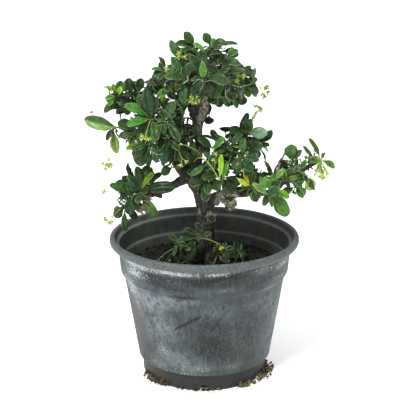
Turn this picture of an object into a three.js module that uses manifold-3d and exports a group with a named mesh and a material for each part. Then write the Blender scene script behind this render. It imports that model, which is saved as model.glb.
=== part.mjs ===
// Fukien tea bonsai growing in a round plastic nursery pot.
// Millimetres, +Z up. The origin is the middle of the pot's underside, and the front of the tree looks
// along -Y.
import * as THREE from 'three';
import Module from 'manifold-3d';
import { mergeVertices } from 'three/addons/utils/BufferGeometryUtils.js';

const wasm = await Module();
wasm.setup();

// Driving dimensions
const gap = 0.3; // clear space between neighbouring pieces
const potSides = 28;
const wall = 2.4;
const notchCount = 6;
const notchWidth = 9;
const notchHeight = 6.5;
const soilEdge = 114.5;
const soilCrown = 119;
const notchDepth = 14; // how far a drainage notch's cutter runs across the wall
const notchMiddle = 65; // distance of its middle from the pot's axis
const barkRelief = 0.09; // ridges of the bark, as a share of the wood's radius
const bladeRib = 1.3; // thickness of a leaf along its rib
const bladeFolded = 0.86; // width of a leaf folded along its rib, as a share of its width laid flat
const bladeFold = 0.1; // rise of a leaf's edges over its rib, as a share of its half width
const bladeBow = 0.1; // rise of a leaf's middle over the line from base to tip, as a share of its length
const twigSides = 3;
const twigRadius = 1.25;
const twigBow = 0.14; // rise of a twig's middle, as a share of its length
const hubRadius = 1.9; // the knuckle at the end of a shoot, which its leaves grow from
const sunk = 0.7; // how far from a shoot's middle line its leaves begin, inside the knuckle
const stalkRadius = 0.6;
const budRadius = 1.7;
const calyxRadius = 1.2;
const petalReach = 4.6;
const flowerHeart = 2.4; // height of a flower's middle over the end of its stalk
const mostPlacedOverlap = 4; // cubic millimetres that a leaf may share with its own stem near the knuckle
const mostRuledOverlap = 0.12;
const noOverlap = 1e-6;
const golden = THREE.MathUtils.degToRad(137.5); // turn from one leaf of a spiral to the next

// Which way the upper face of a hand-placed leaf looks
const facing = {
  front: [0, -0.75, 0.66],
  up: [0, -0.2, 0.98],
  viewer: [0, -0.98, 0.2],
  left: [-0.6, -0.5, 0.6],
  right: [0.6, -0.5, 0.6],
  under: [0, 0.7, 0.7],
};

// The pot in half section: out from the middle of the underside, up, over the lip and back down inside
const potProfile = [
  [0, 0], [65.5, 0], [66.5, 17], [70, 18.6], [85, 109.5], [88.4, 112.5], [90.9, 140], [97.2, 141],
  [100, 144.2], [99.4, 148.4], [96.8, 150], [94.2, 149.6], [92.4, 143], [89.2, 142], [87.8, 124.6],
  [85.4, 123.6], [82.8, 108], [67.6, 19], [64.2, 15.5], [63.4, 3.5], [61.5, wall], [0, wall],
];

// The soil's half section, 0.8 mm inside the pot
const soilProfile = [
  [0, 3.3], [62.2, 3.5], [63.2, 17.5], [82.8, soilEdge], [60, 116], [32, 118], [0, soilCrown],
];

// Trunk, boughs and roots: a line of points with the wood's radius at each
const boughs = {
  trunk: {
    sides: 8,
    points: [
      [0, 0, 104], [0, 0, 118], [0, 0, 132], [1, 0, 149], [2, -1, 163], [1, -1, 174], [-1, 0, 186],
      [-4, 0, 197], [-9, 0, 208], [-9, 0, 220], [-7, 0, 234], [-5, 1, 245], [-6, 1, 257], [-7, 1, 267],
      [-5, 1, 279], [-2, 1, 288], [-3, 3, 297], [-6, 4, 310], [-8, 4, 322], [-9, 3, 334],
    ],
    radii: [12, 12.5, 10.5, 9, 8.4, 7.8, 8.2, 9.2, 9.6, 7, 5.5, 4.6, 4.5, 5.4, 7.4, 6.8, 5, 3.8, 2.8, 1.8],
  },
  left: {
    sides: 6,
    points: [
      [-12, 0, 207], [-23, -6, 219], [-31, -10, 235], [-36, -12, 245], [-47, -12, 254], [-59, -10, 261],
      [-72, -8, 264], [-84, -6, 265],
    ],
    radii: [6, 5, 4.2, 3.8, 3.2, 2.8, 2.4, 1.8],
  },
  leftUpper: {
    sides: 6,
    points: [[-36, -12, 245], [-47, -6, 261], [-60, -2, 275], [-72, 0, 288], [-81, 0, 296]],
    radii: [3.4, 2.8, 2.4, 2, 1.6],
  },
  leftBack: {
    sides: 6,
    points: [[-12, 2, 214], [-25, 16, 230], [-40, 26, 243], [-57, 32, 252]],
    radii: [4.2, 3.3, 2.6, 1.8],
  },
  lowerLeft: {
    sides: 7,
    points: [[-8, 0, 211], [-20, -4, 211], [-31, -8, 206], [-46, -11, 199], [-58, -12, 196], [-70, -10, 195]],
    radii: [6, 5, 4.4, 3.5, 3, 2.2],
  },
  right: {
    sides: 7,
    points: [
      [0, 0, 181], [10, -6, 190], [22, -10, 197], [36, -12, 198], [49, -13, 198], [64, -12, 198],
      [74, -8, 204], [85, -5, 210], [96, -3, 215], [106, -2, 223], [116, 0, 227],
    ],
    radii: [7, 6.2, 5.4, 4.6, 3.1, 2.7, 3.1, 3.2, 3.4, 2.4, 1.6],
  },
  rightUpper: {
    sides: 5,
    points: [[73, -8, 204], [75, -4, 219], [78, -3, 229], [82, -2, 236], [87, 0, 245]],
    radii: [2.4, 2, 1.8, 1.4, 0.9],
  },
  middleRight: {
    sides: 6,
    points: [[-7, -2, 209], [3, -6, 222], [14, -8, 233], [25, -8, 240], [37, -6, 246], [45, -4, 252]],
    radii: [5, 4, 3.4, 2.8, 2.4, 1.7],
  },
  middleBack: {
    sides: 6,
    points: [[-7, 3, 212], [6, 14, 227], [21, 22, 235], [35, 26, 237]],
    radii: [4.4, 3.2, 2.5, 1.7],
  },
  crownLeft: {
    sides: 6,
    points: [[-4, 1, 293], [-12, -8, 303], [-22, -16, 312], [-32, -16, 318], [-40, -12, 322]],
    radii: [4.5, 3.6, 3, 2.4, 1.7],
  },
  crownRight: {
    sides: 6,
    points: [[-2, 2, 295], [8, -6, 306], [20, -10, 315], [32, -8, 320]],
    radii: [4.2, 3.4, 2.7, 1.8],
  },
  crownTop: {
    sides: 5,
    points: [[-7, 4, 314], [1, -4, 326], [7, -6, 338], [9, -6, 346]],
    radii: [3, 2.6, 2.1, 1.5],
  },
  crownBackLeft: {
    sides: 5,
    points: [[-4, 4, 301], [-15, 20, 306], [-25, 32, 310]],
    radii: [3.8, 2.8, 1.7],
  },
  crownBackRight: {
    sides: 5,
    points: [[-4, 4, 301], [8, 20, 308], [20, 32, 312]],
    radii: [3.8, 2.8, 1.7],
  },
  crownFront: {
    sides: 5,
    points: [[-4, 0, 294], [-3, -18, 306], [-1, -32, 319]],
    radii: [4, 3, 1.8],
  },
};

// Surface roots run out from the foot of the trunk and dive into the soil
const rootBearings = [20, 115, 205, 290];
const rootPlaces = [[2, 125], [14, 119], [30, 110]]; // distance from the axis and height
const rootRadii = [6, 4, 1.8];

// Knots and lichen lumps on the bark: place and radius
const lumps = [
  [[13, -10, 187], 3.6], [[20, -13, 191], 4.6], [[30, -14, 201], 4.2], [[28, -14, 190], 5.6],
  [[9, -7, 172], 4.4], [[93, -6, 217], 4], [[-12, -4, 287], 4.4], [[-17, -6, 214], 5],
  [[26, -14, 183], 4.4], [[35, -14, 189], 4.2],
];

// A leafy shoot: where its tip is, how many leaves the rule adds, their length, and the leaves placed by hand
const shoot = (tip, count, size, placed = []) => ({ tip, count, size, placed });

// A leaf placed by hand: where its tip is, its width laid flat and the way that its upper face looks
const leaf = (tip, width, look) => ({ tip, width, look });

// Every leafy stem: where it leaves the wood, and its shoots
const sprays = [
  { name: 'top_left', root: [-9, 3, 334], shoots: [
    shoot([-10, -3, 347], 2, 15, [
      leaf([-20, -8, 365], 11, 'front'), leaf([-28, -14, 355], 9, 'front'), leaf([-27, -22, 345], 9, 'front'),
    ]),
    shoot([-20, -24, 338], 4, 20, [leaf([-33, -34, 332], 10, 'front')]),
  ] },
  { name: 'top_right', root: [9, -6, 346], shoots: [
    shoot([6, -8, 350], 1, 14, [
      leaf([0, -10, 364], 10, 'front'), leaf([20, -16, 357], 12, 'front'), leaf([34, -6, 353], 7, 'front'),
    ]),
    shoot([21, -15, 340], 3, 15, [
      leaf([33, -16, 349], 8, 'front'), leaf([35, -27, 335], 10, 'front'), leaf([15, -32, 339], 11, 'front'),
    ]),
  ] },
  { name: 'crown_right', root: [32, -8, 320], shoots: [
    shoot([35, -8, 321], 2, 15, [leaf([36, -13, 335], 11, 'front'), leaf([50, -12, 326], 10, 'front')]),
    shoot([39, -10, 313], 3, 20, [
      leaf([53, -12, 318], 10, 'front'), leaf([52, -17, 309], 11, 'front'), leaf([45, -20, 301], 9, 'front'),
    ]),
  ] },
  { name: 'crown_right_low', root: [20, -10, 315], shoots: [
    shoot([27, -22, 309], 3, 19, [leaf([37, -28, 299], 10, 'under'), leaf([26, -30, 294], 10, 'under')]),
    shoot([15, -26, 309], 3, 19, [leaf([15, -30, 293], 10, 'under'), leaf([5, -38, 300], 10, 'front')]),
    shoot([18, -38, 327], 4, 21),
  ] },
  { name: 'crown_front', root: [-1, -32, 319], shoots: [
    shoot([-1, -46, 327], 4, 22, [leaf([-12, -52, 314], 13, 'front'), leaf([9, -50, 315], 12, 'front')]),
    shoot([1, -28, 343], 4, 18, [leaf([-1, -42, 331], 9, 'viewer')]),
  ] },
  { name: 'crown_left_front', root: [-22, -16, 312], shoots: [
    shoot([-20, -42, 324], 4, 21),
    shoot([-35, -26, 311], 4, 19, [leaf([-46, -34, 306], 10, 'front')]),
    shoot([-17, -28, 300], 4, 19, [leaf([-29, -34, 293], 9, 'front'), leaf([-24, -42, 301], 12, 'front')]),
  ] },
  { name: 'crown_left', root: [-40, -12, 322], shoots: [
    shoot([-39, -14, 325], 4, 16, [leaf([-52, -16, 331], 8, 'up'), leaf([-51, -18, 323], 9, 'front')]),
    shoot([-44, -10, 315], 2, 14, [leaf([-61, -6, 313], 6, 'up'), leaf([-48, -14, 302], 10, 'front')]),
    shoot([-62, -12, 302], 0, 16),
  ] },
  { name: 'crown_back_left', root: [-25, 32, 310], shoots: [
    shoot([-30, 40, 310], 4, 22),
    shoot([-19, 32, 323], 4, 19),
    shoot([-42, 24, 307], 4, 19),
  ] },
  { name: 'crown_back_right', root: [20, 32, 312], shoots: [
    shoot([27, 38, 311], 4, 22),
    shoot([12, 28, 327], 4, 19),
    shoot([35, 26, 303], 4, 19),
  ] },
  { name: 'crown_back', root: [-4, 4, 301], shoots: [
    shoot([-1, 50, 306], 4, 22),
    shoot([2, 36, 290], 5, 20),
  ] },
  { name: 'trunk_leaf', root: [-3, 3, 281], shoots: [
    shoot([5, 12, 277], 0, 12, [leaf([4, 14, 264], 12, 'front')]),
  ] },
  { name: 'left_tip', root: [-81, 0, 296], shoots: [
    shoot([-85, -3, 299], 3, 17, [
      leaf([-84, -6, 315], 12, 'front'), leaf([-102, -4, 310], 6, 'up'), leaf([-98, -14, 295], 13, 'front'),
      leaf([-101, -10, 283], 9, 'front'),
    ]),
    shoot([-77, 6, 300], 3, 18, [leaf([-69, 6, 312], 9, 'front')]),
    shoot([-71, 20, 287], 4, 20),
  ] },
  { name: 'left_glossy', root: [-47, -12, 254], shoots: [
    shoot([-53, -30, 281], 3, 20, [
      leaf([-57, -38, 313], 13, 'front'), leaf([-46, -36, 306], 8, 'front'),
      leaf([-79, -36, 297], 11, 'front'),
      leaf([-76, -42, 280], 10, 'front'), leaf([-65, -44, 270], 12, 'front'),
    ]),
  ] },
  { name: 'far_left', root: [-84, -6, 265], shoots: [
    shoot([-92, -11, 267], 2, 16, [
      leaf([-121, -12, 276], 19, 'front'), leaf([-89, -16, 242], 10, 'viewer'),
      leaf([-94, -4, 251], 5, 'front'),
    ]),
  ] },
  { name: 'left_low', root: [-59, -10, 261], shoots: [
    shoot([-67, -24, 267], 3, 18, [leaf([-82, -34, 264], 10, 'front'), leaf([-87, -28, 277], 13, 'front')]),
    shoot([-54, -28, 256], 3, 18, [
      leaf([-67, -34, 234], 18, 'front'), leaf([-72, -38, 253], 9, 'front'),
      leaf([-80, -24, 249], 8, 'front'),
    ]),
  ] },
  { name: 'left_inner', root: [-36, -12, 245], shoots: [
    shoot([-39, -26, 260], 3, 18, [leaf([-40, -32, 235], 12, 'viewer')]),
    shoot([-32, -22, 255], 2, 18, [leaf([-14, -26, 234], 16, 'front')]),
    shoot([-31, -15, 227], 0, 14, [leaf([-44, -18, 221], 11, 'front')]),
  ] },
  { name: 'left_high', root: [-47, -6, 261], shoots: [
    shoot([-39, -34, 280], 4, 21),
    shoot([-40, -24, 295], 4, 20, [leaf([-43, -34, 306], 8, 'front')]),
    shoot([-56, 16, 286], 4, 20),
  ] },
  { name: 'trunk_left', root: [-7, 0, 269], shoots: [
    shoot([-24, -22, 278], 4, 21, [leaf([-28, -32, 264], 12, 'front'), leaf([-16, -32, 263], 10, 'front')]),
    shoot([-19, -18, 258], 1, 18, [leaf([-20, -24, 240], 13, 'front')]),
  ] },
  { name: 'trunk_cross', root: [-6, 1, 257], shoots: [
    shoot([-13, -14, 260], 3, 19, [leaf([2, -18, 269], 8, 'up'), leaf([17, -14, 252], 6, 'up')]),
  ] },
  { name: 'left_back', root: [-40, 26, 243], shoots: [
    shoot([-47, 38, 261], 4, 22),
    shoot([-30, 32, 256], 5, 20),
    shoot([-26, 34, 237], 3, 20),
  ] },
  { name: 'left_back_end', root: [-57, 32, 252], shoots: [
    shoot([-66, 40, 261], 4, 22),
    shoot([-74, 32, 248], 4, 19),
    shoot([-57, 22, 236], 4, 20),
  ] },
  { name: 'lower_left', root: [-70, -10, 195], shoots: [
    shoot([-65, -15, 201], 3, 18, [
      leaf([-69, -12, 227], 10, 'front'), leaf([-59, -8, 227], 10, 'front'),
      leaf([-53, -20, 223], 7, 'front'),
      leaf([-30, -24, 208], 17, 'front'), leaf([-79, -24, 212], 11, 'front'),
      leaf([-50, -24, 176], 14, 'viewer'),
    ]),
    shoot([-77, -15, 197], 1, 15, [
      leaf([-96, -14, 208], 10, 'front'), leaf([-77, -24, 179], 13, 'front'),
      leaf([-64, -26, 183], 10, 'front'),
    ]),
  ] },
  { name: 'lower_left_hang', root: [-76, -8, 194], shoots: [
    shoot([-82, -9, 182], 2, 14, [
      leaf([-82, -14, 157], 8, 'viewer'), leaf([-94, -14, 173], 10, 'viewer'),
      leaf([-70, -10, 170], 9, 'viewer'),
    ]),
    shoot([-83, 0, 203], 2, 14, [leaf([-80, -2, 214], 11, 'front')]),
  ] },
  { name: 'lower_left_back', root: [-58, -12, 196], shoots: [
    shoot([-57, 14, 198], 5, 20),
    shoot([-75, 20, 200], 5, 20),
  ] },
  { name: 'trunk_front', root: [-3, -2, 192], shoots: [
    shoot([3, -28, 217], 2, 18, [
      leaf([-15, -34, 215], 14, 'front'), leaf([16, -38, 211], 12, 'front'),
      leaf([1, -38, 197], 11, 'viewer'),
    ]),
  ] },
  { name: 'front_right', root: [3, -6, 222], shoots: [
    shoot([18, -30, 221], 3, 18, [
      leaf([30, -36, 205], 13, 'front'), leaf([16, -36, 243], 6, 'front'), leaf([37, -32, 215], 12, 'front'),
    ]),
    shoot([7, -26, 232], 4, 19),
  ] },
  { name: 'middle_top', root: [45, -4, 252], shoots: [
    shoot([42, -5, 261], 2, 17, [
      leaf([46, -9, 275], 13, 'front'), leaf([63, -14, 264], 15, 'front'), leaf([25, -16, 266], 13, 'front'),
    ]),
    shoot([46, -12, 247], 2, 15, [
      leaf([59, -20, 250], 12, 'front'), leaf([57, -18, 239], 9, 'front'), leaf([51, -30, 243], 12, 'front'),
    ]),
  ] },
  { name: 'middle_front', root: [37, -6, 246], shoots: [
    shoot([39, -30, 243], 4, 17, [leaf([48, -40, 230], 12, 'front'), leaf([29, -40, 233], 12, 'front')]),
  ] },
  { name: 'middle_left', root: [14, -8, 233], shoots: [
    shoot([10, -24, 246], 4, 18),
    shoot([26, -26, 252], 4, 18),
  ] },
  { name: 'middle_back', root: [35, 26, 237], shoots: [
    shoot([38, 36, 247], 4, 21),
    shoot([54, 28, 238], 5, 19),
    shoot([19, 36, 237], 4, 20),
  ] },
  { name: 'middle_low', root: [24, -8, 240], shoots: [
    shoot([37, -16, 222], 4, 18, [leaf([44, -26, 210], 8, 'front'), leaf([30, -26, 210], 9, 'front')]),
  ] },
  { name: 'right_inner', root: [49, -13, 198], shoots: [
    shoot([49, -26, 209], 3, 16, [leaf([62, -34, 206], 7, 'front'), leaf([53, -36, 196], 9, 'front')]),
    shoot([48, 8, 211], 4, 19),
  ] },
  { name: 'right_front', root: [64, -12, 198], shoots: [
    shoot([68, -26, 204], 1, 15, [
      leaf([85, -38, 182], 17, 'front'), leaf([88, -24, 199], 11, 'front'), leaf([60, -36, 222], 8, 'front'),
      leaf([76, -38, 218], 10, 'front'), leaf([60, -34, 192], 8, 'front'),
    ]),
  ] },
  { name: 'right_middle', root: [68, -10, 201], shoots: [
    shoot([58, -4, 213], 4, 15),
  ] },
  { name: 'right_upper', root: [78, -3, 229], shoots: [
    shoot([88, -4, 230], 0, 14, [leaf([89, -8, 249], 15, 'front'), leaf([99, -6, 243], 7, 'front')]),
  ] },
  { name: 'right_top', root: [85, -5, 210], shoots: [
    shoot([82, -18, 216], 4, 17),
    shoot([97, -10, 224], 3, 16),
  ] },
  { name: 'right_end', root: [116, 0, 227], shoots: [
    shoot([120, 0, 230], 2, 12, [leaf([108, 0, 254], 9, 'right'), leaf([135, -3, 223], 9, 'front')]),
    shoot([110, -6, 233], 2, 13, [leaf([102, -4, 247], 5, 'front'), leaf([120, -14, 231], 9, 'front')]),
  ] },
  { name: 'right_low', root: [96, -3, 215], shoots: [
    shoot([105, -12, 217], 2, 14, [leaf([110, -16, 202], 12, 'viewer'), leaf([93, -20, 210], 10, 'front')]),
    shoot([94, -16, 206], 2, 13, [leaf([103, -20, 198], 10, 'front'), leaf([80, -22, 201], 9, 'front')]),
  ] },
  { name: 'right_back', root: [74, -8, 204], shoots: [
    shoot([71, 18, 208], 5, 19),
    shoot([94, 18, 217], 5, 18),
  ] },
  { name: 'base_left', root: [-1, -9, 122], shoots: [
    shoot([-11, -26, 154], 4, 18, [leaf([-14, -40, 136], 13, 'front')]),
    shoot([-25, -24, 148], 3, 15, [leaf([-27, -30, 134], 7, 'viewer')]),
  ] },
  { name: 'base_right', root: [4, -8, 121], shoots: [
    shoot([18, -18, 135], 3, 12),
    shoot([38, -4, 129], 3, 12),
  ] },
];

// A cluster of buds and small flowers: its stem, which of the stem's shoots it grows from, the end of its
// stalk, how far its small side stalks reach, and its buds and blooms
const cluster = (name, spray, host, top, arm, buds, blooms) => (
  { name, spray, host, top, arm, buds, blooms }
);

const clusters = [
  cluster('crown_left', 'crown_left', 0, [-35, -28, 331], 5.5, 4, 1),
  cluster('crown_top', 'top_left', 1, [-22, -34, 346], 5.5, 3, 0),
  cluster('crown_right', 'crown_right', 0, [35, -30, 324], 5.5, 6, 0),
  cluster('crown_far_right', 'crown_right', 0, [57, -14, 309], 8, 3, 2),
  cluster('crown_under', 'crown_left_front', 2, [-11, -42, 304], 5.5, 6, 0),
  cluster('far_left_berry', 'left_tip', 0, [-111, -8, 286], 5.5, 1, 0),
  cluster('left_low', 'far_left', 0, [-97, -25, 237], 9, 4, 2),
  cluster('left_front', 'left_glossy', 0, [-58, -46, 268], 5.5, 4, 0),
  cluster('oval', 'left_inner', 1, [-22, -38, 242], 5.5, 2, 0),
  cluster('middle_spike', 'middle_top', 0, [53, -8, 283], 6.5, 5, 0),
  cluster('middle_front', 'middle_left', 0, [12, -42, 246], 5.5, 3, 0),
  cluster('lower_left_tip', 'lower_left', 1, [-99, -18, 202], 5.5, 2, 0),
  cluster('lower_left_low', 'lower_left_hang', 0, [-95, -20, 175], 8, 3, 1),
  cluster('lower_left_dead', 'lower_left', 0, [-61, -28, 190], 7, 5, 1),
  cluster('right_end', 'right_end', 0, [121, -8, 214], 7, 5, 0),
  cluster('base', 'base_left', 0, [16, -34, 150], 4, 0, 1),
];

const vector = (p) => new THREE.Vector3(...p);

// A repeatable stream of numbers from 0 to 1
function stream(seed) {
  const modulus = 2147483647;
  let state = (seed * 7919 + 17) % modulus;
  const next = () => {
    state = (state * 16807) % modulus;
    return state / modulus;
  };
  next();
  next();
  return next;
}

// Any two unit vectors square to a direction and to each other
function across(direction) {
  const helper = Math.abs(direction.z) > 0.9 ? new THREE.Vector3(1, 0, 0) : new THREE.Vector3(0, 0, 1);
  const first = new THREE.Vector3().crossVectors(direction, helper).normalize();
  const second = new THREE.Vector3().crossVectors(direction, first).normalize();
  return [first, second];
}

// A closed skin over rings of points, with a point at both ends. Each ring runs counter-clockwise seen from
// the end.
function skin(rings, start, end) {
  const sides = rings[0].length;
  const points = [start, ...rings.flat(), end];
  const last = points.length - 1;
  const faces = [];
  const at = (ring, k) => 1 + ring * sides + (k % sides);
  for (let k = 0; k < sides; k += 1) {
    faces.push(0, at(0, k + 1), at(0, k));
    for (let ring = 0; ring + 1 < rings.length; ring += 1) {
      faces.push(at(ring, k), at(ring, k + 1), at(ring + 1, k + 1));
      faces.push(at(ring, k), at(ring + 1, k + 1), at(ring + 1, k));
    }
    faces.push(last, at(rings.length - 1, k), at(rings.length - 1, k + 1));
  }
  const geometry = new THREE.BufferGeometry();
  geometry.setAttribute('position', new THREE.Float32BufferAttribute(points.flatMap((p) => p.toArray()), 3));
  geometry.setIndex(faces);
  return geometry;
}

// A solid made from any closed geometry
function solid(geometry) {
  const plain = geometry.clone();
  plain.deleteAttribute('normal');
  plain.deleteAttribute('uv');
  const merged = mergeVertices(plain, 1e-4);
  return new wasm.Manifold(new wasm.Mesh({
    numProp: 3,
    vertProperties: merged.attributes.position.array,
    triVerts: new Uint32Array(merged.index.array),
  }));
}

// The largest body of a solid, so that no loose scrap stays
function largest(whole) {
  const bodies = whole.decompose();
  return bodies.reduce((best, body) => (body.volume() > best.volume() ? body : best));
}

function geometryOf(whole) {
  const mesh = whole.getMesh();
  const geometry = new THREE.BufferGeometry();
  geometry.setAttribute('position', new THREE.BufferAttribute(mesh.vertProperties.slice(), 3));
  geometry.setIndex([...mesh.triVerts]);
  return geometry;
}

// A round tube through points, whose radius follows radii and swells and dips by relief
function tube(points, radii, sides, relief = 0, grow = 0) {
  const line = points.map(vector);
  const rings = [];
  let side = across(line[1].clone().sub(line[0]).normalize())[0];
  line.forEach((point, i) => {
    const along = line[Math.min(i + 1, line.length - 1)].clone().sub(line[Math.max(i - 1, 0)]).normalize();
    side = side.clone().addScaledVector(along, -side.dot(along)).normalize();
    const other = new THREE.Vector3().crossVectors(along, side);
    const ring = [];
    for (let k = 0; k < sides; k += 1) {
      const turn = (k / sides) * Math.PI * 2;
      const ridges = Math.sin(3 * turn + point.z * 0.09) + 0.6 * Math.sin(2 * turn - point.z * 0.31);
      const radius = radii[i] * (1 + relief * ridges) + grow;
      ring.push(point.clone()
        .addScaledVector(side, Math.cos(turn) * radius)
        .addScaledVector(other, Math.sin(turn) * radius));
    }
    rings.push(ring);
  });
  const outward = line.at(-1).clone().sub(line.at(-2)).normalize().multiplyScalar(radii.at(-1) * 0.7 + grow);
  const inward = line[0].clone().sub(line[1]).normalize().multiplyScalar(radii[0] * 0.3 + grow);
  return solid(skin(rings, line[0].clone().add(inward), line.at(-1).clone().add(outward)));
}

// All the wood in one piece, or the same wood grown by a margin to cut clear space for its neighbours
function woodSolid(grow) {
  const pieces = Object.values(boughs).map((b) => tube(b.points, b.radii, b.sides, barkRelief, grow));
  rootBearings.forEach((bearing) => {
    const turn = THREE.MathUtils.degToRad(bearing);
    const line = rootPlaces.map(([reach, z]) => [Math.cos(turn) * reach, Math.sin(turn) * reach, z]);
    pieces.push(tube(line, rootRadii, 5, 0, grow));
  });
  lumps.forEach(([place, radius]) => {
    const lump = new THREE.IcosahedronGeometry(radius + grow, 0).translate(...place);
    pieces.push(solid(lump));
  });
  return largest(wasm.Manifold.union(pieces));
}

// A solid turned round the pot's axis
function turned(profile) {
  return new THREE.LatheGeometry(profile.map((p) => new THREE.Vector2(...p)), potSides).rotateX(Math.PI / 2);
}

// The pot, with arched drainage notches cut through the foot of its wall
function potSolid() {
  const outline = new THREE.Shape();
  outline.moveTo(-notchWidth / 2, -1);
  outline.lineTo(notchWidth / 2, -1);
  outline.lineTo(notchWidth / 2, notchHeight * 0.45);
  outline.lineTo(notchWidth / 4, notchHeight);
  outline.lineTo(-notchWidth / 4, notchHeight);
  outline.lineTo(-notchWidth / 2, notchHeight * 0.45);
  const notches = Array.from({ length: notchCount }, (_, i) => {
    const cutter = new THREE.ExtrudeGeometry(outline, { depth: notchDepth, bevelEnabled: false });
    cutter.rotateX(Math.PI / 2).translate(0, notchMiddle + notchDepth / 2, 0);
    return solid(cutter.rotateZ((i / notchCount) * Math.PI * 2 + Math.PI));
  });
  return largest(solid(turned(potProfile)).subtract(wasm.Manifold.union(notches)));
}

// The soil is a solid fill with a gently uneven top, and the wood stands in a plain hole in it
function soilSolid(woodCutter) {
  const fill = turned(soilProfile);
  const position = fill.attributes.position;
  for (let i = 0; i < position.count; i += 1) {
    const [x, y, z] = [position.getX(i), position.getY(i), position.getZ(i)];
    if (z >= soilEdge - 0.01) {
      const swell = 1.3 * Math.sin(x * 0.09 + 1) * Math.cos(y * 0.11) + 0.7 * Math.sin(x * 0.23 - y * 0.17);
      position.setZ(i, z + swell);
    }
  }
  return largest(solid(fill).subtract(woodCutter));
}

// A stem's first shoot leaves the wood, and its others fork from the middle of the first
function startOf(spray, shootIndex) {
  const root = vector(spray.root);
  return shootIndex === 0 ? root : twigPoints(root, vector(spray.shoots[0].tip))[1];
}

// A twig to a shoot's tip, bowed up a little and ending in a knuckle
function twigPoints(from, to) {
  const rise = new THREE.Vector3(0, 0, from.distanceTo(to) * twigBow);
  const middle = from.clone().lerp(to, 0.55).add(rise);
  return [from, middle, to];
}

function twigSolid(spray, shootIndex, grow = 0) {
  const tip = vector(spray.shoots[shootIndex].tip);
  const line = twigPoints(startOf(spray, shootIndex), tip).map((p) => p.toArray());
  return tube(line, [twigRadius, twigRadius * 0.85, hubRadius], twigSides, 0, grow);
}

// A leaf blade is spoon shaped, folded along its rib and bowed along its length. Each of its sections has a
// place along the blade and a width, both as shares.
const bladeForms = {
  large: [[0.18, 0.12], [0.58, 1], [0.85, 0.74]],
  small: [[0.22, 0.14], [0.68, 1]],
};

function blade(base, tip, width, look, form, grow = 0) {
  const length = base.distanceTo(tip);
  const along = tip.clone().sub(base).normalize();
  const side = new THREE.Vector3().crossVectors(look, along).normalize();
  const normal = new THREE.Vector3().crossVectors(along, side);
  const rings = bladeForms[form].map(([t, share]) => {
    const half = (width / 2) * share;
    const thick = bladeRib * 0.6 + grow;
    const middle = base.clone().lerp(tip, t).addScaledVector(normal, length * bladeBow * 4 * t * (1 - t));
    const edge = (way) => middle.clone()
      .addScaledVector(side, way * (half + grow))
      .addScaledVector(normal, half * bladeFold + bladeRib * 0.4 + grow);
    return [edge(1), edge(-1), middle.clone().addScaledVector(normal, -thick)];
  });
  return solid(skin(rings, base, tip.clone().addScaledVector(along, grow)));
}

// Where the rule puts a shoot's own leaves: spiralled round its end, lower leaves spreading and upper ones
// rising. A leaf that meets a neighbour is swung, lifted or made shorter, by the next step of these lists.
const swings = [0, 24, -24, 48, -48, 0, 0, 72, -72, 30, -30];
const lifts = [0, 0, 0, 8, 8, -22, 18, -10, -10, -30, -30];
const shares = [1, 1, 1, 0.92, 0.92, 0.9, 0.85, 0.85, 0.85, 0.75, 0.75];

function ruledLeaf(sprayIndex, shootIndex, k, attempt) {
  const spray = sprays[sprayIndex];
  const { tip, count, size } = spray.shoots[shootIndex];
  const draw = stream(1000 * (sprayIndex + 1) + 50 * shootIndex + k);
  const line = twigPoints(startOf(spray, shootIndex), vector(tip));
  const direction = line[2].clone().sub(line[1]).normalize();
  const outward = new THREE.Vector3(line[2].x * 0.4, line[2].y, 0).normalize();
  direction.addScaledVector(outward, 0.35).add(new THREE.Vector3(0, 0, 0.3)).normalize();
  const [first, second] = across(direction);
  const rank = count > 1 ? k / (count - 1) : 1;
  const swing = THREE.MathUtils.degToRad(swings[attempt]);
  const turn = golden * k + sprayIndex + 2 * shootIndex + draw() * 0.6 + swing;
  const spread = THREE.MathUtils.degToRad(88 - 46 * rank + 14 * (draw() - 0.5) + lifts[attempt]);
  const length = size * (0.98 + 0.32 * draw()) * shares[attempt];
  const width = length * bladeFolded * (0.5 + 0.12 * draw());
  const radial = first.clone().multiplyScalar(Math.cos(turn)).addScaledVector(second, Math.sin(turn));
  const reach = direction.clone().multiplyScalar(Math.cos(spread)).addScaledVector(radial, Math.sin(spread));
  reach.z -= 0.04 + 0.3 * draw();
  reach.normalize();
  const base = line[2].clone().lerp(line[1], 0.25 * (1 - rank)).addScaledVector(reach, sunk);
  const look = direction.clone().addScaledVector(first, draw() - 0.5);
  look.z += 0.3 + 0.8 * draw();
  return { base, tip: base.clone().addScaledVector(reach, length), width, look, form: 'small' };
}

// A leaf placed by hand, moved along the line of sight until it is clear of its neighbours
const sightLine = new THREE.Vector3(0, -0.953, 0.302);
const depthShifts = [0, 3, -3, 6, -6, 9, -9, 12, -12, 16, -16];

function placedLeaf({ tip }, { tip: leafTip, width, look }, attempt) {
  const end = vector(leafTip).addScaledVector(sightLine, depthShifts[attempt]);
  const base = vector(tip);
  base.addScaledVector(end.clone().sub(base).normalize(), sunk);
  return { base, tip: end, width: width * bladeFolded, look: vector(facing[look]), form: 'large' };
}

// Everything placed so far: its node, its solid and its box
const placedSolids = [];

function remember(node, body) {
  placedSolids.push({ node, body, box: body.boundingBox() });
}

const boxesMeet = (a, b) => [0, 1, 2].every((i) => a.min[i] < b.max[i] && b.min[i] < a.max[i]);

// How much of a body lies inside the pieces of other nodes, and inside its own node's
function clashes(node, body) {
  const box = body.boundingBox();
  let others = 0;
  let own = 0;
  placedSolids.forEach((piece) => {
    if (!boxesMeet(box, piece.box)) return;
    const volume = body.intersect(piece.body).volume();
    if (piece.node === node) own += volume;
    else others += volume;
  });
  return { others, own };
}

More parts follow.
